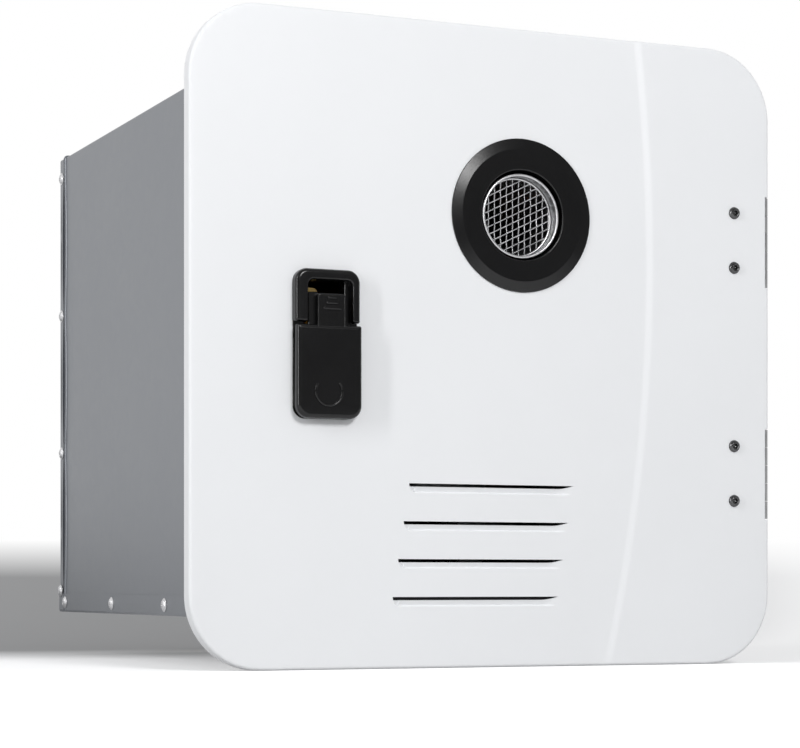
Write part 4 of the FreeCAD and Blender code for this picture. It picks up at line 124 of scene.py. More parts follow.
# Louvres
LOUVRE_COUNT = 4
LOUVRE_TOP = 108.5 - DOOR_HALF
LOUVRE_PITCH = 22.2
LOUVRE_HEIGHT = 5.7
LOUVRE_SLOT = 1.9
LOUVRE_LENGTH = 108.6
LOUVRE_X = -0.9
LOUVRE_SHIFT = -3.5
LOUVRE_END = 4.2
LOUVRE_TAPER = 11.5
LOUVRE_LEDGE = 2.0
LOUVRE_LEAN = 1.7
LOUVRE_LEDGE_SOFT = 0.9
LOUVRE_WALL_SOFT = 1.1
LOUVRE_FADE = 6.5

# Exhaust
RING_X, RING_Z = (RING_LOW.x + RING_HIGH.x) / 2, (RING_LOW.z + RING_HIGH.z) / 2
RING_OUTER_R = (RING_HIGH.x - RING_LOW.x) / 2 + 0.9
RING_FRONT_Y = RING_LOW.y + 1.5
RING_FLAT_R = 39.5
RING_HOLE_R = 26.8
RING_COLLAR_R = 32.7
RING_GAP = 0.3
RING_SEAT = 0.2
RING_LIP = 0.7
RING_ROUNDS = (0.9, 1.6, 0.35, 0, 0, 0.4, 0.4)
PIPE_X, PIPE_Z = (GUARD_LOW.x + GUARD_HIGH.x) / 2, (GUARD_LOW.z + GUARD_HIGH.z) / 2
PIPE_R = 24.9
PIPE_WALL = 0.9
PIPE_BEAD_R = 0.8
PIPE_BEAD_BACK = 1.2
PIPE_FLANGE_R = 31.0
PIPE_FLANGE = 1.2
GUARD_R = (GUARD_HIGH.x - GUARD_LOW.x) / 2
GUARD_PITCH_X = 4.0
GUARD_PITCH_Z = 4.6
GUARD_WIRE_R = 0.34
GUARD_WAVE = 0.24
GUARD_STEPS = 80
GUARD_RIM_R = 0.65
GUARD_RIM_INSET = 0.7
GUARD_REACH = GUARD_R - 0.9
GUARD_SLOPE = math.radians(26.0)

# Hinges and door screws
HINGE_X = (PINS_LOW.x + PINS_HIGH.x) / 2
HINGE_Y = (PINS_LOW.y + PINS_HIGH.y) / 2
HINGE_LENGTH = 56.0
HINGE_Z = PINS_HIGH.z - HINGE_LENGTH / 2
HINGE_POCKET_R = 3.2
HINGE_NOTCH = 2.8
KNUCKLE_R = 2.9
HINGE_SCREW_X = DOOR_HALF - 25.3
HINGE_SCREW_OFFSET = 17.0
HINGE_SCREW_R = 2.05

# Latch
LATCH_X = (LATCH_LOW.x + LATCH_HIGH.x) / 2
LATCH_HALF = (LATCH_HIGH.x - LATCH_LOW.x) / 2
LATCH_CORNER_R = 7.5
LATCH_OPENING_INSET = 4.2
LATCH_OPENING_R = 3.0
LATCH_GAP = 0.3
SURROUND_LOW = 9.2
SURROUND_EXTRA = (0.4, 1.2)
SURROUND_ROUND = 2.4
SURROUND_FOOT_R = 1.6
BASE_THICK = 0.5
BASE_CLEAR = 0.4
WINDOW_WIDTH = 27.0
WINDOW_TOP = 33.5
WINDOW_R = 3.2
WINDOW_EDGE_SHARE = 0.55
THROAT_HALF = LATCH_HALF - 6.5
THROAT_LOW = -7.1
PEDESTAL_TOP = -4.5
PEDESTAL = 2.2
PEDESTAL_STEP = (1.2, 0.8)
CUP_RAISE = 6.5
CUP_WALL = 1.5
PIVOT_Y, PIVOT_Z = -15.0, 1.5
LATCH_SWING = 40.0
EAR_R = 2.6
EAR_THICK = 3.2
EAR_SOFT = 0.3
NECK_X = LATCH_X + 1.8
NECK_WIDTH = 17.3
NECK_TOP = 25.9
NECK_SINK = 0.7
NECK_DEEP = 5.3
NECK_ROUND = 1.1
NECK_RIBS = ((17.1, 11.5), (20.3, 7.5), (23.4, 6.0))
NECK_RIB_HALF = 0.8
NECK_RIB_STEPS = ((0.55, -0.8), (0.2, -0.65), (0.02, -0.3), (0.0, 0.2))
PADDLE_TOP_Z = 7.8
PADDLE_EXTRA = (0.5, 1.7)
NECK_RAIL = 1.1
NECK_RAIL_RAISE = 0.45
PADDLE_ROUND = 2.4
PADDLE_DEEP = 5.0
PADDLE_WALL = 2.0
PADDLE_SKIN = 1.6
SHIELD_TOP = 26.6
SHIELD_GAP = 0.4
SHIELD_THICK = 1.2
STRIKE_Y = 0.8
STRIKE_THICK = 1.2
STRIKE_LOW, STRIKE_TOP = 21.5, 31.0
STRIKE_ARM = 7.0
STRIKE_FOOT = 12.0
STRIKE_BACK = 15.0
STRIKE_REACH = 4.7
STRIKE_WALL_X = WRAP_LOW.x + 2.0
STRIKE_SOFT = 0.25
ARC_X, ARC_Z = -109.0, -30.5
ARC_R = 8.2
ARC_WIRE_R = 0.8
ARC_START, ARC_END = math.radians(150.0), math.radians(397.0)

# Housing sheets
HOUSING_HALF = REAR_HIGH.x
HOUSING_DEPTH = REAR_HIGH.y
SHEET = 0.8
BEND_R = 1.6
REAR_LAP = 13.4
REAR_BOW = 2.6
REAR_SEAM = 0.5
REAR_SCREWS = (-146.0, -48.6, 48.6, 146.0)
REAR_SCREW_Y = HOUSING_DEPTH - 4.1
TRAY_SCREW_YS = (12.8, 125.07, 237.33, 349.6)
TRAY_SCREW_Z = WRAP_LOW.z + 5.9
WRAP_FRONT = 8.0
WRAP_BOWED = 22.0
LIP_COVERED = 4.0
CURL_LIFT = 1.3
CURL_REACH = 0.9
CURL_STEPS = (9.0, 0.9, 0.7, 0.5, 0.32, 0.18, 0.07, 0.0)
FITTINGS = ((-33.0, -115.0, 10.5), (67.0, -115.0, 10.5), (118.0, -118.0, 8.0))

# Screws, and the kind, size and depth of their recesses
CASE_SCREW = {"head_r": 4.3, "head": 1.8, "washer": 0.9, "shank_r": 1.9, "shank": 5.0}
CASE_DRIVE = ("cross", 1.9, 1.0)
DOOR_SCREW = {"head_r": 3.75, "head": 2.2, "washer": 0.0, "shank_r": 2.0, "shank": 9.0}
DOOR_DRIVE = ("hexagon", 1.5, 1.3)

# Inset and depth of the steps of a small round
EDGE_STEPS = ((0.5, 0.0), (0.15, 0.15), (0.0, 0.5))

# Rounding of the edges of pieces that keep their solid's form
SOFT_EDGES = {
    "latch_hook": 0.4, "hinge_door_leaves": 0.25,
    "hinge_frame_leaves": 0.25, "mounting_frame": 0.3, "latch_back_plate": 0.25,
}

# Stage: a sweep behind the part, which fades to white as it rises, with painted shade on the paper
# behind the part
SWEEP_START = 450.0
SWEEP_R = 800.0
SWEEP_TOP = 105.0
FADE_LOW, FADE_HIGH = 0.055, 0.09
PAPER = 0.92
# Painted shade: paper colour painted darker in a soft patch behind the part
PAPER_PAINTED_SHADE = 0.55
PAPER_BOUNCE = 0.5
PAPER_GLOW = 0.31
# Place, size and softness of the patch of painted shade, where the paper is darker and has no glow
PAINTED_SHADE_PLACE = (-0.1, 0.72)
PAINTED_SHADE_SIZE = (0.75, 0.5, 1.0)
PAINTED_SHADE_SOFT = 0.45
WORLD_FILL = 0.42
WHITE = (1, 1, 1, 1)
FILL_COLOUR = (0.97, 0.98, 1.0, 1)
ROOM_FRONT = 0.2
ROOM_SPAN = (-0.7, 0.2)
PAPER_REACH = 6000.0
PAPER_HALF = 7000.0

# Lamps: name, place, target, size and watts
LAMPS = (
    ("key", (0.1, -2.3, 1.15), (0, 0, 0), (0.7, 0.6), 32),
    ("strip", (-1.75, -0.6, 0.55), (0, 0, 0.1), (0.12, 1.2), 13),
    ("rear_strip", (-1.5, 0.6, 0.5), (-0.16, 0.3, 0.1), (0.12, 1.0), 2),
)


# Outlines, which run counter-clockwise in the XZ plane seen from the front

def filleted(points, radii, steps=6):
    """Closed outline with each corner rounded by its own radius."""
    outline = []
    for index, corner in enumerate(points):
        here = Vector(corner)
        before = (Vector(points[index - 1]) - here).normalized()
        after = (Vector(points[(index + 1) % len(points)]) - here).normalized()
        radius = radii[index] if isinstance(radii, (list, tuple)) else radii
        if radius <= 0 or abs(before.dot(after)) > 0.9999:
            outline.append(here)
            continue
        half = before.angle(after) / 2
        centre = here + (before + after).normalized() * radius / math.sin(half)
        first = here + before * radius / math.tan(half) - centre
        last = here + after * radius / math.tan(half) - centre
        turn = math.copysign(math.pi - 2 * half, first.cross(last))
        for step in range(steps + 1):
            outline.append(centre + Matrix.Rotation(turn * step / steps, 2) @ first)
    return outline


def rounded_box(x0, x1, z0, z1, radius, steps=8):
    return filleted([(x0, z0), (x1, z0), (x1, z1), (x0, z1)], radius, steps)


def arc(x, z, radius, start, end, steps):
    """Points along part of a circle, both ends included, with its angles in radians."""
    angles = [start + (end - start) * k / steps for k in range(steps + 1)]
    return [Vector((x + radius * math.cos(a), z + radius * math.sin(a))) for a in angles]


def circle(x, z, radius, steps):
    return arc(x, z, radius, 0.0, math.tau, steps)[:-1]


def directions(points):
    """Which way an open line runs at each of its points, at no set length."""
    return [after - before for before, after
            in zip(points[:1] + points, points[1:] + points[-1:])]


def divided(outline, pitch):
    """The same closed outline with long sides cut into equal short ones."""
    points = []
    for here, there in zip(outline, outline[1:] + outline[:1]):
        count = max(1, round((there - here).length / pitch))
        points += [here.lerp(there, k / count) for k in range(count)]
    return points


def inset(outline, distance, share=None):
    """The outline moved to its left, which is inwards if it runs counter-clockwise."""
    moved = []
    for index, here in enumerate(outline):
        ahead = (outline[(index + 1) % len(outline)] - here).normalized()
        behind = (here - outline[index - 1]).normalized()
        normal = Vector((-ahead.y - behind.y, ahead.x + behind.x))
        part = distance * (share(here) if share else 1)
        moved.append(here + normal * part / (1 + ahead.dot(behind)))
    return moved


def inside(point, outline):
    found = False
    for a, b in zip(outline, outline[1:] + outline[:1]):
        if (a.y > point.y) != (b.y > point.y):
            if point.x < a.x + (point.y - a.y) * (b.x - a.x) / (b.y - a.y):
                found = not found
    return found


def quarter(radius, steps=4):
    """Inset and depth of each step of a rounded edge, from the face to the side."""
    return [(radius * (1 - math.sin(math.pi / 2 * k / steps)),
             radius * (1 - math.cos(math.pi / 2 * k / steps))) for k in range(steps + 1)]


def near_edge(front):
    """Inset and Y of the small round at a plate's front."""
    return [(d, front + depth) for d, depth in EDGE_STEPS]


def far_edge(back):
    """Inset and Y of the small round at a plate's back."""
    return [(d, back - depth) for d, depth in reversed(EDGE_STEPS)]


# Meshes, modelled in millimetres

def loft(mesh, loops, closed=True, cap_first=False, cap_last=False):
    """Skin over loops of equal count; closed joins each loop's end to its start."""
    rows = [[mesh.verts.new(point) for point in loop] for loop in loops]
    count = len(rows[0])
    for row, following in zip(rows, rows[1:]):
        for k in range(count if closed else count - 1):
            n = (k + 1) % count
            mesh.faces.new((row[k], row[n], following[n], following[k]))
    if cap_first:
        mesh.faces.new(rows[0])
    if cap_last:
        mesh.faces.new(list(reversed(rows[-1])))
    return rows


def hull(mesh, loops):
    """Skin over closed loops, with a cap on both ends."""
    loft(mesh, loops, True, True, True)


def fill(mesh, contours, level, extra_lines=(), extra_points=()):
    """Triangles between an outer contour and its holes; level gives Y at each point."""
    points = []
    edges = []
    for line, ring in [(c, True) for c in contours] + [(line, False) for line in extra_lines]:
        start = len(points)
        points += line
        edges += [(start + k, start + k + 1) for k in range(len(line) - 1)]
        if ring:
            edges.append((start + len(line) - 1, start))
    points += extra_points
    spots, _, triangles, _, _, _ = delaunay_2d_cdt(points, edges, [], 0, 1e-4)
    verts = [mesh.verts.new((p.x, level(p.x, p.y), p.y)) for p in spots]
    outer, holes = contours[0], contours[1:]
    for triangle in triangles:
        middle = sum((spots[k] for k in triangle), Vector((0, 0))) / 3
        if inside(middle, outer) and not any(inside(middle, hole) for hole in holes):
            mesh.faces.new([verts[k] for k in triangle])
    for vert in verts:
        if not vert.link_faces:
            mesh.verts.remove(vert)


def lathe(mesh, profile, x, z, steps=96, closed=True):
    """Profile of (radius, Y) turned round an axis along Y."""
    loops = []
    for step in range(steps):
        cos, sin = math.cos(math.tau * step / steps), math.sin(math.tau * step / steps)
        loops.append([Vector((x + r * cos, y, z + r * sin)) for r, y in profile])
    rows = loft(mesh, loops, closed)
    count = len(profile)
    for k in range(count if closed else count - 1):
        n = (k + 1) % count
        mesh.faces.new((rows[-1][k], rows[-1][n], rows[0][n], rows[0][k]))


def plate(mesh, outline, levels, holes=(), share=None):
    """Slab whose outline is inset level by level, with a flat cap at both ends."""
    contours = [outline] + [list(reversed(hole)) for hole in holes]
    for contour in contours:
        loft(mesh, [[(p.x, y, p.y) for p in inset(contour, d, share)] for d, y in levels])
    for d, y in (levels[0], levels[-1]):
        caps = [inset(contour, d, share) for contour in contours]
        fill(mesh, caps, lambda x, z, y=y: y)


def new_object(name, data):
    made = bpy.data.objects.new(name, data)
    bpy.context.scene.collection.objects.link(made)
    return made


def mesh_object(name, mesh):
    """Object made from a mesh in millimetres, with its faces turned outwards."""
    bmesh.ops.recalc_face_normals(mesh, faces=mesh.faces)
    mesh.transform(Matrix.Scale(MM, 4))
    data = bpy.data.meshes.new(name)
    mesh.to_mesh(data)
    mesh.free()
    return new_object(name, data)


def smooth(data):
    """Smooth shading, apart from the sharp edges."""
    data.shade_smooth()
    data.set_sharp_from_angle(angle=SHARP_ANGLE)


def new_piece(name, mesh, body, slot, *replaced):
    """Turn a mesh in millimetres into a piece that rides a body."""
    bmesh.ops.remove_doubles(mesh, verts=mesh.verts, dist=1e-3)
    piece = mesh_object(name, mesh)
    smooth(piece.data)
    piece.data.materials.append(bpy.data.materials[slot])
    piece.modifiers.new("normals", "WEIGHTED_NORMAL").keep_sharp = True
    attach(piece, body)
    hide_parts(*replaced)
    return piece


# Door panel

def smooth_step(value):
    value = min(1.0, max(0.0, value))
    return value * value * (3 - 2 * value)


def past_crease(x, z):
    """Distance past the arc of the crease, less than zero to its left."""
    return math.hypot(x - CREASE_X + CREASE_R, z - CREASE_Z) - CREASE_R


def crease_lift(x, z):
    """How far the face stands out, which grows over the crease."""
    start, end = CREASE_SOFT
    return CREASE_RAISE * smooth_step((past_crease(x, z) - start) / (end - start))


def edge_distance(x, z):
    """Distance of a point from the door's outer edge."""
    corner = DOOR_HALF - DOOR_CORNER_R
    across, up = abs(x) - corner, abs(z) - corner
    if across > 0 and up > 0:
        return DOOR_CORNER_R - math.hypot(across, up)
    return DOOR_HALF - max(abs(x), abs(z))


class Louvre:
    """One slot with a ramp that leads down into it from below."""

    def __init__(self, index):
        middle = LOUVRE_X + index * LOUVRE_SHIFT
        self.left = middle - LOUVRE_LENGTH / 2
        self.right = middle + LOUVRE_LENGTH / 2
        self.top = LOUVRE_TOP - index * LOUVRE_PITCH
        self.bottom = self.top - LOUVRE_HEIGHT

    def slot_floor(self, x):
        """Lower edge of the slot, which curves up to a point at the right."""
        past = max(0.0, x - (self.right - LOUVRE_TAPER)) / LOUVRE_TAPER
        return self.top - LOUVRE_SLOT * (1 - past * past)

    def wall_x(self, z):
        """The curved end at the left."""
        share = min(1.0, max(0.0, (self.top - z) / LOUVRE_HEIGHT))
        return self.left + LOUVRE_END * (1 - math.sqrt(1 - share * share))

    def hole(self):
        floor = self.top - LOUVRE_SLOT
        corner = self.wall_x(floor)
        points = [Vector((self.left, self.top)), Vector((corner, floor))]
        straight = self.right - LOUVRE_TAPER
        points += [Vector((corner + (straight - corner) * k / 24, floor)) for k in range(1, 25)]
        for k in range(1, 9):
            x = straight + LOUVRE_TAPER * k / 8
            points.append(Vector((x, self.slot_floor(x))))
        return points

    def depth(self, x, z):
        """Depth of the recessed band under the slot, none outside it."""
        if not self.bottom < z < self.top - 0.3:
            return 0.0
        share = (z - self.bottom) / (LOUVRE_HEIGHT - LOUVRE_SLOT)
        deep = LOUVRE_LEDGE * smooth_step((z - self.bottom) / LOUVRE_LEDGE_SOFT)
        deep = max(0.0, deep - LOUVRE_LEAN * share)
        deep *= smooth_step((x - self.wall_x(z)) / LOUVRE_WALL_SOFT)
        return deep * smooth_step((self.right - LOUVRE_END / 2 - x) / LOUVRE_FADE)

    def lines(self):
        """The band's lower edge, the steps of its ledge, and the steps of its curved end."""
        lines = []
        for part in (0.0, 0.33, 0.67, 1.0):
            start = self.left + LOUVRE_END + 1.5
            length = self.right - LOUVRE_END / 2 - start
            z = self.bottom + LOUVRE_LEDGE_SOFT * part
            lines.append([Vector((start + length * k / 44, z)) for k in range(45)])
        floor = self.top - LOUVRE_SLOT - 0.15
        for part in (0.0, 0.33, 0.67, 1.0):
            out = LOUVRE_WALL_SOFT * part
            heights = [floor + (self.bottom + 0.05 - floor) * k / 8 for k in range(9)]
            lines.append([Vector((self.wall_x(z) + out, z)) for z in heights])
        return lines

    def dots(self):
        """Points over the band and just under it."""
        spots = []
        low = self.bottom + LOUVRE_LEDGE_SOFT
        for k in range(1, 44):
            x = self.left + LOUVRE_END + 2 + (self.right - self.left - LOUVRE_END - 2) * k / 44
            floor = self.slot_floor(x) - 0.2
            spots += [Vector((x, low + (floor - low) * part)) for part in (0.3, 0.65, 1.0)]
            spots.append(Vector((x, self.bottom - 0.5)))
        return spots


LOUVRES = [Louvre(index) for index in range(LOUVRE_COUNT)]


def face_y(x, z):
    """The door's front, with its crease, louvres and rounded edge."""
    y = DOOR_FACE_Y - crease_lift(x, z) + sum(louvre.depth(x, z) for louvre in LOUVRES)
    short = DOOR_EDGE_R - min(DOOR_EDGE_R, max(0.0, edge_distance(x, z)))
    return y + DOOR_EDGE_R - math.sqrt(max(0.0, DOOR_EDGE_R ** 2 - short ** 2))


def hinge_screw_places():
    return [(HINGE_SCREW_X, side * HINGE_Z + offset) for side in (1, -1)
            for offset in (HINGE_SCREW_OFFSET, -HINGE_SCREW_OFFSET)]


def latch_hole(gap=0.0):
    side = LATCH_HALF - LATCH_OPENING_INSET + gap
    return rounded_box(LATCH_X - side, LATCH_X + side, LATCH_LOW.z + LATCH_OPENING_INSET - gap,
                       LATCH_HIGH.z - LATCH_OPENING_INSET + gap, LATCH_OPENING_R)


def door_holes():
    holes = [circle(RING_X, RING_Z, RING_COLLAR_R + RING_GAP, 96), divided(latch_hole(), 6.0)]
    holes += [circle(x, z, HINGE_SCREW_R, 20) for x, z in hinge_screw_places()]
    return holes + [louvre.hole() for louvre in LOUVRES]


def crease_lines():
    """Arcs that follow the crease, close enough together to carry its curve."""
    reach = DOOR_HALF - DOOR_EDGE_R - 0.3
    lines = []
    start, end = CREASE_SOFT
    for step in range(11):
        radius = CREASE_R + start + (end - start) * step / 10
        low = math.asin((-reach - CREASE_Z) / radius)
        high = math.asin((reach - CREASE_Z) / radius)
        lines.append(arc(CREASE_X - CREASE_R, CREASE_Z, radius, low, high, 70))
    return lines


def grid_points(pitch, reach, clear):
    """Even points over a square, apart from those that the test keeps clear."""
    count = int(reach // pitch)
    spots = [Vector((column * pitch, row * pitch)) for column in range(-count, count + 1)
             for row in range(-count, count + 1)]
    return [spot for spot in spots if not clear(spot)]


def near_louvres(spot):
    return any(louvre.left - 2 < spot.x < louvre.right + 2
               and louvre.bottom - 2 < spot.y < louvre.top + 2 for louvre in LOUVRES)


def near_detail(spot):
    """Whether a louvre or the crease brings its own points here."""
    start, end = CREASE_SOFT
    return near_louvres(spot) or start - 1 < past_crease(spot.x, spot.y) < end + 1


def make_door_panel():
    mesh = bmesh.new()
    outline = divided(rounded_box(-DOOR_HALF, DOOR_HALF, -DOOR_HALF, DOOR_HALF,
                                  DOOR_CORNER_R, 24), EDGE_PITCH)
    holes = door_holes()
    rounds = [inset(outline, d) for d, _ in quarter(DOOR_EDGE_R)[:-1]]
    lines = [ring + ring[:1] for ring in rounds] + crease_lines()
    dots = []
    for louvre in LOUVRES:
        lines += louvre.lines()
        dots += louvre.dots()
    dots += grid_points(FACE_PITCH, DOOR_HALF - 6, near_detail)
    fill(mesh, [outline] + holes, face_y, lines, dots)

    bmesh.ops.remove_doubles(mesh, verts=mesh.verts, dist=1e-3)
    rim = [edge for edge in mesh.edges if edge.is_boundary]
    moved = bmesh.ops.extrude_edge_only(mesh, edges=rim)
    for vert in [part for part in moved["geom"] if isinstance(part, bmesh.types.BMVert)]:
        outside = edge_distance(vert.co.x, vert.co.z) < 0.01
        vert.co.y = DOOR_BACK_Y if outside else DOOR_INNER_Y

    inner = inset(outline, DOOR_WALL)
    levels = [(0.0, DOOR_BACK_Y)]
    levels += [(d, DOOR_INNER_Y + depth) for d, depth in reversed(quarter(INNER_FILLET))]
    back = [[(p.x, DOOR_BACK_Y, p.y) for p in outline]]
    back += [[(p.x, y, p.y) for p in inset(inner, d)] for d, y in levels]
    loft(mesh, back)
    fill(mesh, [inset(inner, INNER_FILLET)] + holes, lambda x, z: DOOR_INNER_Y,
         extra_points=grid_points(BACK_PITCH, DOOR_HALF - 8, near_louvres))
    panel = new_piece("door_face", mesh, "door", "door_white", "door_panel")
    cut_with(panel, [hinge_pocket(side * HINGE_Z) for side in (1, -1)])
    make_door_ribs()


def hinge_pocket(middle):
    """Cutter for the knuckles' room in the rim, open to the back and to the side."""
    mesh = bmesh.new()
    low, high = middle - HINGE_LENGTH / 2 - 0.4, middle + HINGE_LENGTH / 2 + 0.4
    front = DOOR_RAISED_Y - 1
    back = DOOR_BACK_Y + 1
    side = DOOR_HALF - HINGE_NOTCH
    points = [(DOOR_HALF + 1, back), (DOOR_HALF + 1, front), (side, front)]
    points += arc(HINGE_X, HINGE_Y, HINGE_POCKET_R, math.radians(-106), -math.pi, 9)
    points.append((HINGE_X - HINGE_POCKET_R, back))
    hull(mesh, [[(x, y, z) for x, y in points] for z in (low, high)])
    return mesh


def cut_with(piece, cutters):
    """Take cutters, given in millimetres, out of a piece."""
    for mesh in cutters:
        cutter = mesh_object("cutter", mesh)
        cut = piece.modifiers.new("cut", "BOOLEAN")
        cut.object = cutter
        cut.operation = "DIFFERENCE"
        cut.solver = "EXACT"
        piece.modifiers.move(len(piece.modifiers) - 1, 0)
        result = bpy.data.meshes.new_from_object(
            piece.evaluated_get(bpy.context.evaluated_depsgraph_get()))
        piece.modifiers.remove(cut)
        piece.data = result
        bpy.data.objects.remove(cutter)


def make_door_ribs():
    mesh = bmesh.new()
    back = DOOR_INNER_Y + RIB_HEIGHT
    half = RIB_THICK / 2
    top = LOUVRES[0].top + 4
    strips = [(RIB_XS[0], top, RIB_REACH, True), (RIB_XS[1], -RIB_REACH, RIB_REACH, True),
              (RIB_ZS[1], -RIB_REACH, RIB_REACH, False), (RIB_ZS[0], -RIB_REACH, RIB_REACH, False)]
    for place, low, high, upright in strips:
        if upright:
            outline = rounded_box(place - half, place + half, low, high, 0.6, 3)
        else:
            outline = rounded_box(low, high, place - half, place + half, 0.6, 3)
        plate(mesh, outline, [(0, DOOR_INNER_Y - RIB_ROOT)] + far_edge(back))
    new_piece("door_ribs", mesh, "door", "door_white", "door_panel")


def make_exhaust_ring():
    front, back = RING_FRONT_Y, RING_HIGH.y
    face = DOOR_FACE_Y - RING_SEAT
    profile = filleted([(RING_HOLE_R, front), (RING_FLAT_R, front), (RING_OUTER_R, face - RING_LIP),
                        (RING_OUTER_R, face), (RING_COLLAR_R, face), (RING_COLLAR_R, back),
                        (RING_HOLE_R, back)], RING_ROUNDS, 5)
    mesh = bmesh.new()
    lathe(mesh, profile, RING_X, RING_Z, 128)
    new_piece("exhaust_bezel", mesh, "door", "black_moulding", "exhaust_ring")


def make_exhaust_pipe():
    front, back = RING_FRONT_Y, PIPE_HIGH.y
    bead_y, bead_r = front + PIPE_BEAD_R, PIPE_R - PIPE_WALL / 2
    bead = arc(bead_r, bead_y, PIPE_BEAD_R, math.radians(40), math.radians(-220), 13)
    bead_back = bead_y + PIPE_BEAD_BACK
    flange = back - PIPE_FLANGE
    profile = bead + [(PIPE_R - PIPE_WALL, bead_back), (PIPE_R - PIPE_WALL, back),
                      (PIPE_R, back), (PIPE_R, flange), (PIPE_FLANGE_R, flange),
                      (PIPE_FLANGE_R, flange - PIPE_FLANGE), (PIPE_R, flange - PIPE_FLANGE),
                      (PIPE_R, bead_back)]
    mesh = bmesh.new()
    lathe(mesh, profile, PIPE_X, PIPE_Z, 128)
    new_piece("exhaust_tube", mesh, "cabinet", "bright_steel", "exhaust_pipe")


def wire(mesh, points, radius, sides=8):
    """Round wire through points in millimetres."""
    loops = []
    for point, ahead in zip(points, directions(points)):
        turn = ahead.to_track_quat("Z", "Y")
        loops.append([point + turn @ p.to_3d() for p in circle(0, 0, radius, sides)])
    hull(mesh, loops)


def weave(mesh, middle, start, along, crossing, spacing, lift):
    """Wire across the guard that waves over and under the wires it crosses."""
    nearest = -start.dot(along)
    away = (start + along * nearest).length
    if away > GUARD_REACH - 1:
        return
    half = math.sqrt(GUARD_REACH ** 2 - away ** 2)
    points = []
    for k in range(GUARD_STEPS + 1):
        s = nearest - half + 2 * half * k / GUARD_STEPS
        out = lift * math.cos(math.pi * (s - crossing) / spacing)
        points.append(middle + start + along * s + Vector((0, out, 0)))
    wire(mesh, points, GUARD_WIRE_R)


def make_exhaust_guard():
    """Woven wires, upright ones crossed by slanted ones, inside a round rim."""
    mesh = bmesh.new()
    middle = Vector((PIPE_X, (GUARD_LOW.y + GUARD_HIGH.y) / 2, PIPE_Z))
    columns = int(GUARD_R // GUARD_PITCH_X)
    for column in range(-columns, columns + 1):
        x = (column + 0.5) * GUARD_PITCH_X
        weave(mesh, middle, Vector((x, 0, 0)), Vector((0, 0, 1)),
              x * math.tan(GUARD_SLOPE) + GUARD_PITCH_Z / 2, GUARD_PITCH_Z,
              -GUARD_WAVE * (-1) ** column)
    rows = int(1.6 * GUARD_R // GUARD_PITCH_Z) + 1
    along = Vector((math.cos(GUARD_SLOPE), 0, math.sin(GUARD_SLOPE)))
    spacing = GUARD_PITCH_X / along.x
    for row in range(-rows, rows):
        weave(mesh, middle, Vector((0, 0, (row + 0.5) * GUARD_PITCH_Z)), along, spacing / 2,
              spacing, GUARD_WAVE * (-1) ** row)
    rim = circle(GUARD_R - GUARD_RIM_INSET, middle.y, GUARD_RIM_R, 10)
    lathe(mesh, rim, PIPE_X, PIPE_Z, 96)
    new_piece("guard_wires", mesh, "cabinet", "bright_steel", "exhaust_guard")


# Pieces that keep the solid's form and get softened edges

def swell_knuckles(mesh):
    """Widen the round of each hinge knuckle, so that it comes flush with the door's edge."""
    for vert in mesh.verts:
        across, back = vert.co.x / MM - HINGE_X, vert.co.y / MM - HINGE_Y
        away = math.hypot(across, back)
        if KNUCKLE_R - 0.9 < away < KNUCKLE_R:
            vert.co.x += across * (KNUCKLE_R / away - 1) * MM
            vert.co.y += back * (KNUCKLE_R / away - 1) * MM


def softened(node, width):
    """New piece in a node's form, its sharp edges rounded by a width in millimetres."""
    source = frame["nodes"][node]
    mesh = bmesh.new()
    mesh.from_mesh(source.data)
    bmesh.ops.remove_doubles(mesh, verts=mesh.verts, dist=1e-6)
    bmesh.ops.dissolve_limit(mesh, angle_limit=math.radians(1), verts=mesh.verts,
                             edges=mesh.edges, delimit={"NORMAL"})
    if node.startswith("hinge"):
        swell_knuckles(mesh)
    edges = [edge for edge in mesh.edges
             if edge.is_manifold and edge.calc_face_angle(0) > SHARP_ANGLE]
    bmesh.ops.bevel(mesh, geom=edges, offset=width * MM, offset_type="OFFSET", segments=2,
                    profile=0.5, affect="EDGES", clamp_overlap=True)
    mesh.transform(Matrix.Scale(1 / MM, 4))
    slot = source.data.materials[0].name
    new_piece(node + "_soft", mesh, body_of(source)[0], slot, node)


# Latch

def throat_box(low, high):
    return rounded_box(LATCH_X - THROAT_HALF, LATCH_X + THROAT_HALF, low, high, 1.0, 3)


def soft_steps(start, end, soft):
    """Place and inset of each step of a slab with softened edges."""
    return (start, soft), (start + soft, 0), (end - soft, 0), (end, soft)


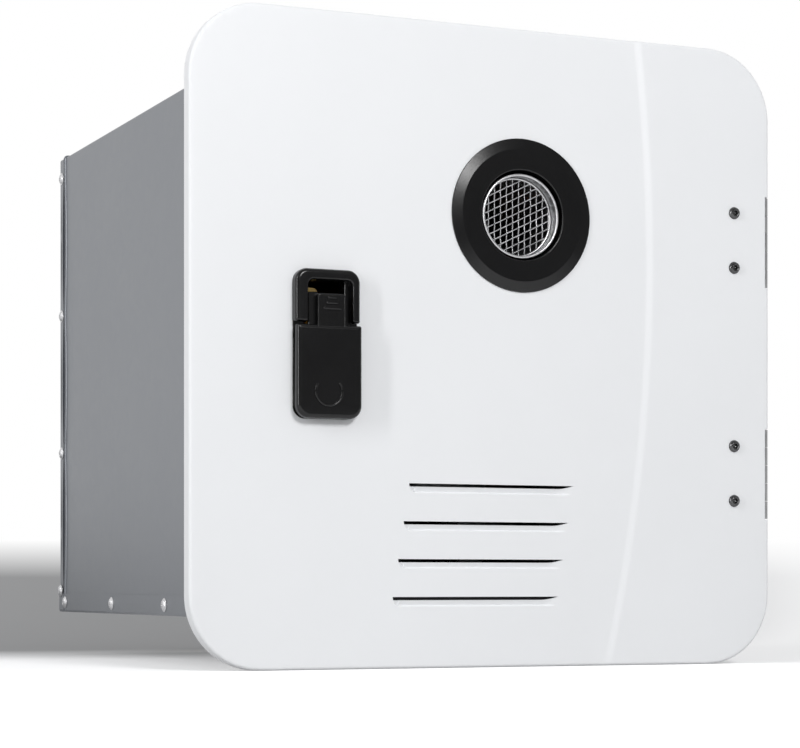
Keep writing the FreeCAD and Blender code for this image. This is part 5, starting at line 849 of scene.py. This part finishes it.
def make_latch_surround():
    """Base on the face, a raised surround open at the bottom, and the box through the door."""
    left, right = LATCH_LOW.x - SURROUND_EXTRA[0], LATCH_HIGH.x + SURROUND_EXTRA[1]
    low, top = LATCH_LOW.z, LATCH_HIGH.z
    window_left, window_right = NECK_X - WINDOW_WIDTH / 2, NECK_X + WINDOW_WIDTH / 2
    base_y = DOOR_FACE_Y - BASE_THICK
    mesh = bmesh.new()
    corners = [(left, SURROUND_LOW), (window_left, SURROUND_LOW), (window_left, WINDOW_TOP),
               (window_right, WINDOW_TOP), (window_right, SURROUND_LOW), (right, SURROUND_LOW),
               (right, top), (left, top)]
    foot = [SURROUND_FOOT_R] * 2
    outline = filleted(corners, foot + [WINDOW_R] * 2 + foot + [LATCH_CORNER_R] * 2, 16)

    def edge_share(point):
        within = window_left - 0.1 < point.x < window_right + 0.1 and point.y < WINDOW_TOP + 0.1
        if within or point.y < SURROUND_LOW + SURROUND_FOOT_R:
            return WINDOW_EDGE_SHARE
        return 1.0

    rounded = [(d, LATCH_LOW.y + depth) for d, depth in quarter(SURROUND_ROUND, 6)]
    plate(mesh, outline, rounded + [(0, DOOR_FACE_Y)], (), edge_share)

    throat = throat_box(THROAT_LOW, WINDOW_TOP)
    base = rounded_box(left, right, low, top, LATCH_CORNER_R, 16)
    plate(mesh, base, [(0.2, base_y), (0, base_y + 0.2), (0, DOOR_FACE_Y)], [throat])
    step, step_low = PEDESTAL_STEP
    pedestal = rounded_box(left + step, right - step, low + step_low, PEDESTAL_TOP,
                           LATCH_CORNER_R - step_low, 16)
    pedestal = [point for point in pedestal if point.y < THROAT_LOW]
    pedestal += [Vector((right - step, THROAT_LOW)), Vector((left + step, THROAT_LOW))]
    plate(mesh, pedestal, near_edge(base_y - PEDESTAL) + [(0, base_y)])
    cup = throat_box(low + CUP_RAISE, THROAT_LOW - CUP_WALL)
    plate(mesh, latch_hole(-LATCH_GAP), [(0, DOOR_FACE_Y - 0.05)] + far_edge(LATCH_HIGH.y),
          [throat, cup])
    for side in (-1, 1):
        ear = [Vector((DOOR_FACE_Y, PIVOT_Z + EAR_R))]
        ear += arc(PIVOT_Y, PIVOT_Z, EAR_R, math.pi / 2, math.pi * 3 / 2, 12)
        ear.append(Vector((DOOR_FACE_Y, PIVOT_Z - EAR_R)))
        middle = LATCH_X + side * THROAT_HALF
        half = EAR_THICK / 2
        hull(mesh, [[(middle + x, y, z) for y, z in inset(ear, -d)]
                    for x, d in soft_steps(-half, half, EAR_SOFT)])
    new_piece("latch_surround", mesh, "door", "black_moulding", "latch_housing")


def make_strike():
    """Sprung tab behind the hook's nose, on an arm that is folded onto the collar."""
    left, right = HOOK_LOW.x - STRIKE_REACH, HOOK_HIGH.x
    wall = STRIKE_WALL_X
    mesh = bmesh.new()
    outline = filleted([(wall, STRIKE_TOP - STRIKE_ARM), (left, STRIKE_TOP - STRIKE_ARM),
                        (left, STRIKE_LOW), (right, STRIKE_LOW), (right, STRIKE_TOP),
                        (wall, STRIKE_TOP)], [0, 0.8, 1.0, 3.5, 2.5, 0], 5)
    y = STRIKE_Y
    plate(mesh, outline, [(STRIKE_SOFT, y), (0.05, y + 0.1), (0, y + 0.3),
                          (0, y + STRIKE_THICK - 0.3), (STRIKE_SOFT, y + STRIKE_THICK)])
    foot_low = STRIKE_TOP - STRIKE_FOOT
    foot = filleted([(y, foot_low), (STRIKE_BACK, foot_low), (STRIKE_BACK, STRIKE_TOP),
                     (y, STRIKE_TOP)], [0.5, 2.0, 2.0, 0.5], 4)
    hull(mesh, [[(x, p.x, p.y) for p in inset(foot, d)]
                for x, d in soft_steps(wall, wall + STRIKE_THICK, STRIKE_SOFT)])
    new_piece("strike_tab", mesh, "cabinet", "yellow_zinc", "strike_clip")


def make_latch_paddle():
    """Curved plate with a raised arc on it, and a ribbed neck that goes up into the window."""
    left, right = PADDLE_LOW.x - PADDLE_EXTRA[0], PADDLE_HIGH.x + PADDLE_EXTRA[1]
    low, top = PADDLE_LOW.z, PADDLE_TOP_Z
    front = PADDLE_LOW.y
    mesh = bmesh.new()
    outline = filleted([(left, low), (right, low), (right, top), (left, top)],
                       [LATCH_CORNER_R, LATCH_CORNER_R, 1.2, 1.2], 18)
    levels = [(d, front + depth) for d, depth in quarter(PADDLE_ROUND, 6)]
    back, skin = front + PADDLE_DEEP, front + PADDLE_SKIN
    levels += [(0, back - 0.2), (0.2, back), (PADDLE_WALL - 0.2, back),
               (PADDLE_WALL, back - 0.2), (PADDLE_WALL, skin + 0.6), (PADDLE_WALL + 0.6, skin)]
    plate(mesh, outline, levels)
    clear_base(mesh)

    neck_left, neck_right = NECK_X - NECK_WIDTH / 2, NECK_X + NECK_WIDTH / 2
    neck_front, neck_back = front + NECK_SINK, front + NECK_DEEP
    neck = filleted([(neck_left, top - 4), (neck_right, top - 4), (neck_right, NECK_TOP),
                     (neck_left, NECK_TOP)], [0, 0, 1.6, 1.6], 5)
    plate(mesh, neck, [(d, neck_front + depth) for d, depth in quarter(NECK_ROUND)]
          + [(0, neck_back - 0.4), (0.4, neck_back)])
    shield = rounded_box(NECK_X - WINDOW_WIDTH / 2 + SHIELD_GAP, neck_left + 1.5, top - 1,
                         SHIELD_TOP, 0.6, 3)
    shield_front = neck_back - SHIELD_THICK
    plate(mesh, shield, [(0.2, shield_front), (0, shield_front + 0.2), (0, neck_back)])
    boss = circle(PIVOT_Y, PIVOT_Z, EAR_R, 20)
    hull(mesh, [[(x, y, z) for y, z in boss] for x in (neck_left, neck_right)])
    for x in (neck_left + NECK_RAIL / 2, neck_right - NECK_RAIL / 2):
        rail = rounded_box(x - NECK_RAIL / 2, x + NECK_RAIL / 2, top - 3, NECK_TOP - 1.0,
                           NECK_RAIL * 0.49, 4)
        rail_front = neck_front - NECK_RAIL_RAISE
        plate(mesh, rail, [(d, rail_front + depth) for d, depth in quarter(0.5)]
              + [(0, neck_front + 1.2)])
    for z, length in NECK_RIBS:
        rib = rounded_box(NECK_X - length / 2, NECK_X + length / 2, z - NECK_RIB_HALF,
                          z + NECK_RIB_HALF, NECK_RIB_HALF - 0.01, 5)
        plate(mesh, rib, [(d, neck_front + depth) for d, depth in NECK_RIB_STEPS])
    raised = arc(ARC_X, ARC_Z, ARC_R, ARC_START, ARC_END, 40)
    wire(mesh, [Vector((p.x, front - 0.1, p.y)) for p in raised], ARC_WIRE_R, 10)
    new_piece("latch_handle", mesh, "latch", "black_moulding", "latch_paddle")


def clear_base(mesh):
    """Cut back what is above the pivot, so that it swings in without reaching the base."""
    turn = math.radians(LATCH_SWING)
    room = DOOR_FACE_Y - BASE_THICK - BASE_CLEAR - PIVOT_Y
    for vert in mesh.verts:
        up = vert.co.z - PIVOT_Z
        if up > 0:
            limit = PIVOT_Y + (room - up * math.sin(turn)) / math.cos(turn)
            vert.co.y = min(vert.co.y, limit)


# Housing sheets

def bow(place):
    """How far a rear edge bows away between its screws."""
    for low, high in zip(REAR_SCREWS, REAR_SCREWS[1:]):
        if low < place < high:
            return REAR_BOW * (1 - ((2 * place - low - high) / (high - low)) ** 2)
    return 0.0


def bow_at(point):
    return bow(point.x if point.y > HOUSING_HALF - BEND_R else point.y)


def bent_path(ends, pitch):
    """Open path along a bent sheet, given by its two ends and the corners between them."""
    corner = filleted(ends, [0, BEND_R, BEND_R, 0], 5)
    path = []
    for here, there in zip(corner, corner[1:]):
        count = max(1, round((there - here).length / pitch))
        path += [here.lerp(there, k / count) for k in range(count)]
    return path + corner[-1:]


def arch_path(half, low):
    """Path up the left side, over the top and down the right."""
    return bent_path([(-half, low), (-half, half), (half, half), (half, low)], 6.0)


def path_normals(path):
    """Outward normals of an open path that runs clockwise."""
    return [Vector((-ahead.y, ahead.x)).normalized() for ahead in directions(path)]


def bend_sheet(mesh, path, thickness, rows):
    """Sheet along an open path; rows give Y and outward lift at a point of the path."""
    normals = path_normals(path)
    loops = []
    for point, normal in zip(path, normals):
        outer = []
        inner = []
        for row in rows:
            y, lift = row(point)
            out = point + normal * lift
            back = out - normal * thickness
            outer.append(Vector((out.x, y, out.y)))
            inner.append(Vector((back.x, y, back.y)))
        loops.append(outer + list(reversed(inner)))
    hull(mesh, loops)


def level_rows(*levels):
    """Rows whose Y and lift are the same all along the path."""
    return [lambda p, level=level: level for level in levels]


def make_housing_wrap():
    mesh = bmesh.new()
    edge = HOUSING_DEPTH - REAR_LAP - REAR_SEAM
    path = arch_path(HOUSING_HALF, WRAP_LOW.z)
    flat = edge - WRAP_BOWED - WRAP_FRONT
    rows = level_rows((0.0, -0.1), (0.3, 0.0),
                      *[(WRAP_FRONT + flat * k / 8, 0.0) for k in range(9)])
    rows += [lambda p, back=back: (edge - bow_at(p) - back, curl(back)) for back in CURL_STEPS]
    bend_sheet(mesh, path, SHEET, rows)
    lip = arch_path(HOUSING_HALF - SHEET, WRAP_LOW.z)
    bend_sheet(mesh, lip, SHEET, level_rows((edge - REAR_BOW - LIP_COVERED, 0.0),
                                            (HOUSING_DEPTH - SHEET - 0.1, 0.0)))
    new_piece("housing_skin", mesh, "cabinet", "galvanised_sheet", "housing_wrap")


def curl(back):
    """Outward lift of a rolled edge, at a distance from it."""
    return CURL_LIFT * max(0.0, 1 - back / CURL_REACH) ** 2


def make_rear_panel():
    mesh = bmesh.new()
    edge = HOUSING_DEPTH - REAR_LAP
    path = arch_path(HOUSING_HALF, REAR_LOW.z)
    rows = [lambda p, back=back: (edge + bow_at(p) + back, curl(back))
            for back in reversed(CURL_STEPS)]
    rows += level_rows((HOUSING_DEPTH - 3.0, 0.0), *[(HOUSING_DEPTH - depth, -d)
                                                    for d, depth in reversed(quarter(0.6))])
    bend_sheet(mesh, path, SHEET, rows)
    side = HOUSING_HALF - 0.9
    outline = rounded_box(-side, side, REAR_LOW.z, side, 1.0, 4)
    holes = [circle(x, z, radius, 40) for x, z, radius in FITTINGS]
    plate(mesh, outline, [(0, HOUSING_DEPTH - SHEET), (0, HOUSING_DEPTH)], holes)
    new_piece("rear_pan", mesh, "cabinet", "galvanised_sheet", "rear_panel")


def make_base_tray():
    mesh = bmesh.new()
    half, low = TRAY_HIGH.x, TRAY_LOW.z
    path = bent_path([(half, TRAY_HIGH.z), (half, low), (-half, low), (-half, TRAY_HIGH.z)], 20.0)
    bend_sheet(mesh, path, SHEET, level_rows((0.0, -0.1), (0.3, 0.0), (HOUSING_DEPTH / 2, 0.0),
                                             (HOUSING_DEPTH - 0.3, 0.0), (HOUSING_DEPTH, -0.1)))
    new_piece("housing_tray", mesh, "cabinet", "galvanised_sheet", "base_tray")


# Screws

def screw_mesh(head_r, head, washer, shank_r, shank):
    """Domed head over a thin washer, standing along -Y on the plane at zero."""
    mesh = bmesh.new()
    dome_r = head_r - washer
    foot = 0.45 if washer else 0.15
    profile = [(0.02, -head), (dome_r * 0.3, -head + 0.02), (dome_r * 0.6, -head * 0.92),
               (dome_r * 0.86, -head * 0.72), (dome_r, -foot - 0.25)]
    if washer:
        profile += [(dome_r + 0.25, -foot), (head_r - 0.15, -foot), (head_r, -foot * 0.5)]
    profile += [(head_r, 0.0), (shank_r, 0.0), (shank_r, shank - 0.6), (shank_r * 0.4, shank),
                (0.02, shank)]
    lathe(mesh, profile, 0, 0, 32)
    return mesh


def drive_cutter(kind, size, depth, head):
    """Cross or six-sided recess for the middle of a head."""
    mesh = bmesh.new()
    if kind == "cross":
        arm, half = size, size * 0.24
        corner = [(half, -arm), (half, -half), (arm, -half)]
        outline = []
        for _ in range(4):
            outline += corner
            corner = [(-z, x) for x, z in corner]
        share = 0.55
    else:
        outline = circle(0, 0, size, 6)
        share = 0.97
    loops = [[(x * part, y, z * part) for x, z in outline]
             for part, y in ((1.0, -head - 0.5), (1.0, -head), (share, -head + depth))]
    hull(mesh, loops)
    return mesh


def make_screws(name, node, slot, seats, form, drive):
    """One screw, repeated over seats of (place, direction of the head)."""
    body = body_of(frame["nodes"][node])[0]
    first = new_piece(name, screw_mesh(**form), body, slot, node)
    cut_with(first, [drive_cutter(*drive, form["head"])])
    shape = bmesh.new()
    for place, out in seats:
        copy = first.data.copy()
        turn = Vector((0, -1, 0)).rotation_difference(out).to_matrix().to_4x4()
        copy.transform(Matrix.Translation(Vector(place) * MM) @ turn)
        shape.from_mesh(copy)
        bpy.data.meshes.remove(copy)
    shape.to_mesh(first.data)
    shape.free()
    smooth(first.data)


def door_screw_seats():
    return [((x, DOOR_RAISED_Y, z), Vector((0, -1, 0))) for x, z in hinge_screw_places()]


def case_screw_seats():
    """Seats along the tray's flanges, the rear panel's sides and its top."""
    seats = []
    for side in (-1, 1):
        out = Vector((side, 0, 0))
        seats += [((side * TRAY_HIGH.x, y, TRAY_SCREW_Z), out) for y in TRAY_SCREW_YS]
        for z in REAR_SCREWS:
            face = TRAY_HIGH.x if z < -140 else HOUSING_HALF
            seats.append(((side * face, REAR_SCREW_Y, z), out))
    seats += [((x, REAR_SCREW_Y, HOUSING_HALF), Vector((0, 0, 1))) for x in REAR_SCREWS]
    return seats


# Node helpers

class Nodes:
    """Short way to add and join shader nodes in one tree."""

    def __init__(self, tree):
        self.tree = tree
        tree.nodes.clear()

    def feed(self, target, value):
        """Join a node or a socket to an input, or set the input's own value."""
        if isinstance(value, bpy.types.Node):
            value = value.outputs[0]
        if isinstance(value, bpy.types.NodeSocket):
            self.tree.links.new(value, target)
        else:
            target.default_value = value

    def add(self, kind, *parts, **values):
        """Node with its first inputs, then its settings and other inputs by name."""
        node = self.tree.nodes.new(kind)
        for key, value in values.items():
            if hasattr(node, key):
                setattr(node, key, value)
            else:
                self.feed(node.inputs[key.replace("_", " ")], value)
        for target, part in zip(node.inputs, parts):
            self.feed(target, part)
        return node

    def mapped(self, source, low, high, start=0.0, end=1.0):
        return self.add("ShaderNodeMapRange", source, From_Min=start, From_Max=end, To_Min=low,
                        To_Max=high)


def new_material(name):
    material = bpy.data.materials.get(name) or bpy.data.materials.new(name)
    material.use_nodes = True
    return material, Nodes(material.node_tree)


def tinted(colour, share):
    return tuple(min(1.0, part * share) for part in colour) + (1.0,)


def paint_slot(name, colour, rough, metal=0.0, specular=0.5, tone=0.06, patch=18.0,
               grain=900.0, grain_depth=0.00002, spangle=0.0, streak=1.0, coat=0.0):
    """One slot's finish: uneven tone, uneven gloss and a fine bump over the surface."""
    nodes = new_material(name)[1]
    place = nodes.add("ShaderNodeTexCoord").outputs["Object"]
    stretch = nodes.add("ShaderNodeMapping", place, Scale=(1.0, streak, 1.0))
    patches = nodes.add("ShaderNodeTexNoise", stretch, Scale=patch, Detail=4.0, Roughness=0.6)
    mix = nodes.mapped(patches, 0.0, 1.0, 0.3, 0.7)
    if spangle:
        cells = nodes.add("ShaderNodeTexVoronoi", stretch, Scale=spangle).outputs["Color"]
        mix = nodes.add("ShaderNodeMath", nodes.mapped(cells, 0.0, 0.5),
                        nodes.mapped(patches, 0.0, 0.5, 0.3, 0.7), operation="ADD")
    tones = nodes.add("ShaderNodeMixRGB", mix, tinted(colour, 1 - tone), tinted(colour, 1 + tone))
    fine = nodes.add("ShaderNodeTexNoise", stretch, Scale=grain, Detail=2.0)
    bump = nodes.add("ShaderNodeBump", Strength=1.0, Distance=grain_depth, Height=fine)
    shader = nodes.add("ShaderNodeBsdfPrincipled", tones, metal, Normal=bump,
                       Roughness=nodes.mapped(mix, rough * 0.88, rough * 1.12),
                       Specular_IOR_Level=specular, Coat_Weight=coat)
    nodes.add("ShaderNodeOutputMaterial", shader)


# Finishes, one for each slot of the record

def make_finishes():
    paint_slot("door_white", (0.85, 0.86, 0.875), 0.42, tone=0.008, patch=6.0, grain=1400.0,
               grain_depth=0.000012)
    paint_slot("black_moulding", (0.0048, 0.0048, 0.0052), 0.2, specular=0.36, tone=0.12,
               grain=2200.0, grain_depth=0.000006)
    paint_slot("yellow_zinc", (0.62, 0.44, 0.17), 0.34, metal=1.0, tone=0.2, patch=160.0)
    paint_slot("galvanised_sheet", (0.215, 0.225, 0.243), 0.42, metal=0.75, tone=0.05,
               patch=9.0, spangle=160.0, grain=700.0)
    paint_slot("dark_steel", (0.1, 0.1, 0.102), 0.2, metal=1.0, tone=0.2, patch=120.0)
    paint_slot("bright_steel", (0.56, 0.56, 0.57), 0.32, metal=1.0, tone=0.08, patch=90.0)
    paint_slot("hinge_steel", (0.45, 0.455, 0.46), 0.36, metal=1.0, tone=0.06, streak=0.2,
               patch=120.0)
    paint_slot("frame_paint", (0.74, 0.74, 0.74), 0.5, tone=0.02, grain_depth=0.00004)
    paint_slot("black_rubber", (0.016, 0.016, 0.017), 0.82, specular=0.25, tone=0.2,
               grain=600.0, grain_depth=0.00012)
    paint_slot("copper", (0.72, 0.36, 0.22), 0.33, metal=1.0, tone=0.16, patch=50.0)
    paint_slot("brass", (0.72, 0.55, 0.26), 0.3, metal=1.0, tone=0.08, patch=70.0)
    paint_slot("heat_steel", (0.4, 0.385, 0.36), 0.42, metal=1.0, tone=0.14, patch=24.0)
    paint_slot("plated_bracket", (0.56, 0.57, 0.58), 0.36, metal=1.0, tone=0.07, spangle=220.0)
    paint_slot("cast_aluminium", (0.58, 0.59, 0.6), 0.55, metal=0.9, tone=0.08, grain=500.0,
               grain_depth=0.00008)
    paint_slot("gas_pipe_steel", (0.72, 0.52, 0.08), 0.4, tone=0.06, patch=30.0)
    paint_slot("ceramic_white", (0.84, 0.81, 0.75), 0.25, tone=0.04, patch=60.0, coat=0.4)
    paint_slot("thermostat", (0.03, 0.03, 0.032), 0.5, tone=0.15)
    paint_slot("fan_housing", (0.44, 0.46, 0.48), 0.42, metal=0.9, tone=0.08, spangle=180.0)
    paint_slot("motor_can", (0.035, 0.036, 0.04), 0.32, tone=0.12)
    paint_slot("coil_resin", (0.02, 0.03, 0.06), 0.38, tone=0.12)
    paint_slot("sensor_plastic", (0.03, 0.03, 0.034), 0.48, tone=0.12)
    paint_slot("box_plastic", (0.55, 0.55, 0.53), 0.46, tone=0.03, grain=1100.0,
               grain_depth=0.00003)
    paint_slot("board_green", (0.012, 0.13, 0.045), 0.3, tone=0.12, patch=140.0, coat=0.3)
    paint_slot("switch_black", (0.014, 0.014, 0.015), 0.3, tone=0.12)
    paint_slot("module_plastic", (0.02, 0.02, 0.023), 0.42, tone=0.12)


# Stage

def make_world():
    """White to the camera, a room with a darker front to mirrors, and an even fill for the rest."""
    world = bpy.data.worlds.new("studio")
    bpy.context.scene.world = world
    world.use_nodes = True
    nodes = Nodes(world.node_tree)
    place = nodes.add("ShaderNodeTexCoord").outputs["Generated"]
    depth = nodes.add("ShaderNodeSeparateXYZ", place).outputs["Y"]
    room = nodes.mapped(depth, ROOM_FRONT, 1.0, *ROOM_SPAN)
    rays = nodes.add("ShaderNodeLightPath").outputs
    shiny = nodes.add("ShaderNodeMath", rays["Is Glossy Ray"], rays["Is Transmission Ray"],
                      operation="MAXIMUM")
    fill_light = nodes.add("ShaderNodeBackground", FILL_COLOUR, WORLD_FILL)
    mirrored = nodes.add("ShaderNodeBackground", WHITE, room)
    lit = nodes.add("ShaderNodeMixShader", shiny, fill_light, mirrored)
    seen = nodes.add("ShaderNodeBackground", WHITE, 1.0)
    mix = nodes.add("ShaderNodeMixShader", rays["Is Camera Ray"], lit, seen)
    nodes.add("ShaderNodeOutputWorld", mix)


def make_floor():
    """Paper sweep: flat under the part, and rising behind it until it is white."""
    mesh = bmesh.new()
    low = DOOR_LOW.z
    profile = [(-PAPER_REACH, low), (SWEEP_START, low)]
    last = math.acos(1 - SWEEP_TOP / SWEEP_R)
    for k in range(1, 17):
        angle = last * k / 16
        profile.append((SWEEP_START + SWEEP_R * math.sin(angle),
                        low + SWEEP_R * (1 - math.cos(angle))))
    turn = Matrix.Rotation(math.radians(CAMERA_TURN), 3, "Z")
    loops = [[turn @ Vector((x, y, z)) for y, z in profile] for x in (-PAPER_HALF, PAPER_HALF)]
    loft(mesh, loops, False)
    floor = mesh_object("floor", mesh)
    floor.data.shade_smooth()
    floor.data.materials.append(paint_paper(low * MM))


def paint_paper(floor_z):
    """Paper with painted shade round the part, where it is painted darker and loses its glow, and
    which fades to white with its height.
    """
    material, nodes = new_material("floor_paper")
    place = nodes.add("ShaderNodeNewGeometry").outputs["Position"]
    shade = nodes.add("ShaderNodeMapping", place, PAINTED_SHADE_PLACE + (floor_z,), Scale=PAINTED_SHADE_SIZE,
                      vector_type="TEXTURE")
    near = nodes.add("ShaderNodeTexGradient", shade, gradient_type="SPHERICAL").outputs["Fac"]
    # Painted shade: near the part the paper's colour is painted darker and its glow is taken away
    tone = nodes.mapped(near, PAPER, PAPER_PAINTED_SHADE, 0.0, PAINTED_SHADE_SOFT)
    paper = nodes.add("ShaderNodeBsdfDiffuse", tone)
    glow_tone = nodes.mapped(near, PAPER_GLOW, 0.0, 0.0, PAINTED_SHADE_SOFT)
    glow = nodes.add("ShaderNodeEmission", Strength=glow_tone)
    lifted = nodes.add("ShaderNodeAddShader", paper, glow)
    white = nodes.add("ShaderNodeEmission", Strength=1.0)
    height = nodes.add("ShaderNodeSeparateXYZ", place).outputs["Z"]
    rise = nodes.mapped(height, 0.0, 1.0, floor_z + FADE_LOW, floor_z + FADE_HIGH)
    seen = nodes.add("ShaderNodeMixShader", rise, lifted, white)
    bounce = nodes.add("ShaderNodeBsdfDiffuse", (PAPER_BOUNCE, PAPER_BOUNCE, PAPER_BOUNCE, 1))
    rays = nodes.add("ShaderNodeLightPath").outputs
    direct = nodes.add("ShaderNodeMath", rays["Is Camera Ray"], rays["Is Glossy Ray"],
                       operation="MAXIMUM")
    mix = nodes.add("ShaderNodeMixShader", direct, bounce, seen)
    nodes.add("ShaderNodeOutputMaterial", mix)
    return material


def make_lamp(name, place, target, size, power):
    lamp = bpy.data.lights.new(name, "AREA")
    lamp.shape = "RECTANGLE"
    lamp.size, lamp.size_y = size
    lamp.energy = power
    piece = new_object(name, lamp)
    piece.location = place
    aim = Vector(target) - Vector(place)
    piece.rotation_euler = aim.to_track_quat("-Z", "Y").to_euler()


def make_camera():
    data = bpy.data.cameras.new("camera")
    data.lens = CAMERA_LENS
    data.sensor_width = 36.0
    data.sensor_fit = "HORIZONTAL"
    data.shift_y = CAMERA_SHIFT_Y
    camera = new_object("camera", data)
    camera.location = CAMERA_PLACE
    camera.rotation_euler = (math.radians(90), 0, math.radians(CAMERA_TURN))
    bpy.context.scene.camera = camera


# Build

make_finishes()
make_door_panel()
make_exhaust_ring()
make_exhaust_pipe()
make_exhaust_guard()
make_latch_surround()
make_latch_paddle()
make_strike()
make_housing_wrap()
make_rear_panel()
make_base_tray()
make_screws("case_screw_heads", "case_screws", "bright_steel", case_screw_seats(),
            CASE_SCREW, CASE_DRIVE)
make_screws("door_screw_heads", "hinge_door_screws", "dark_steel", door_screw_seats(),
            DOOR_SCREW, DOOR_DRIVE)
for node, width in SOFT_EDGES.items():
    softened(node, width)

make_world()
make_floor()
for lamp in LAMPS:
    make_lamp(*lamp)
make_camera()
bpy.context.scene.view_settings.view_transform = "Standard"
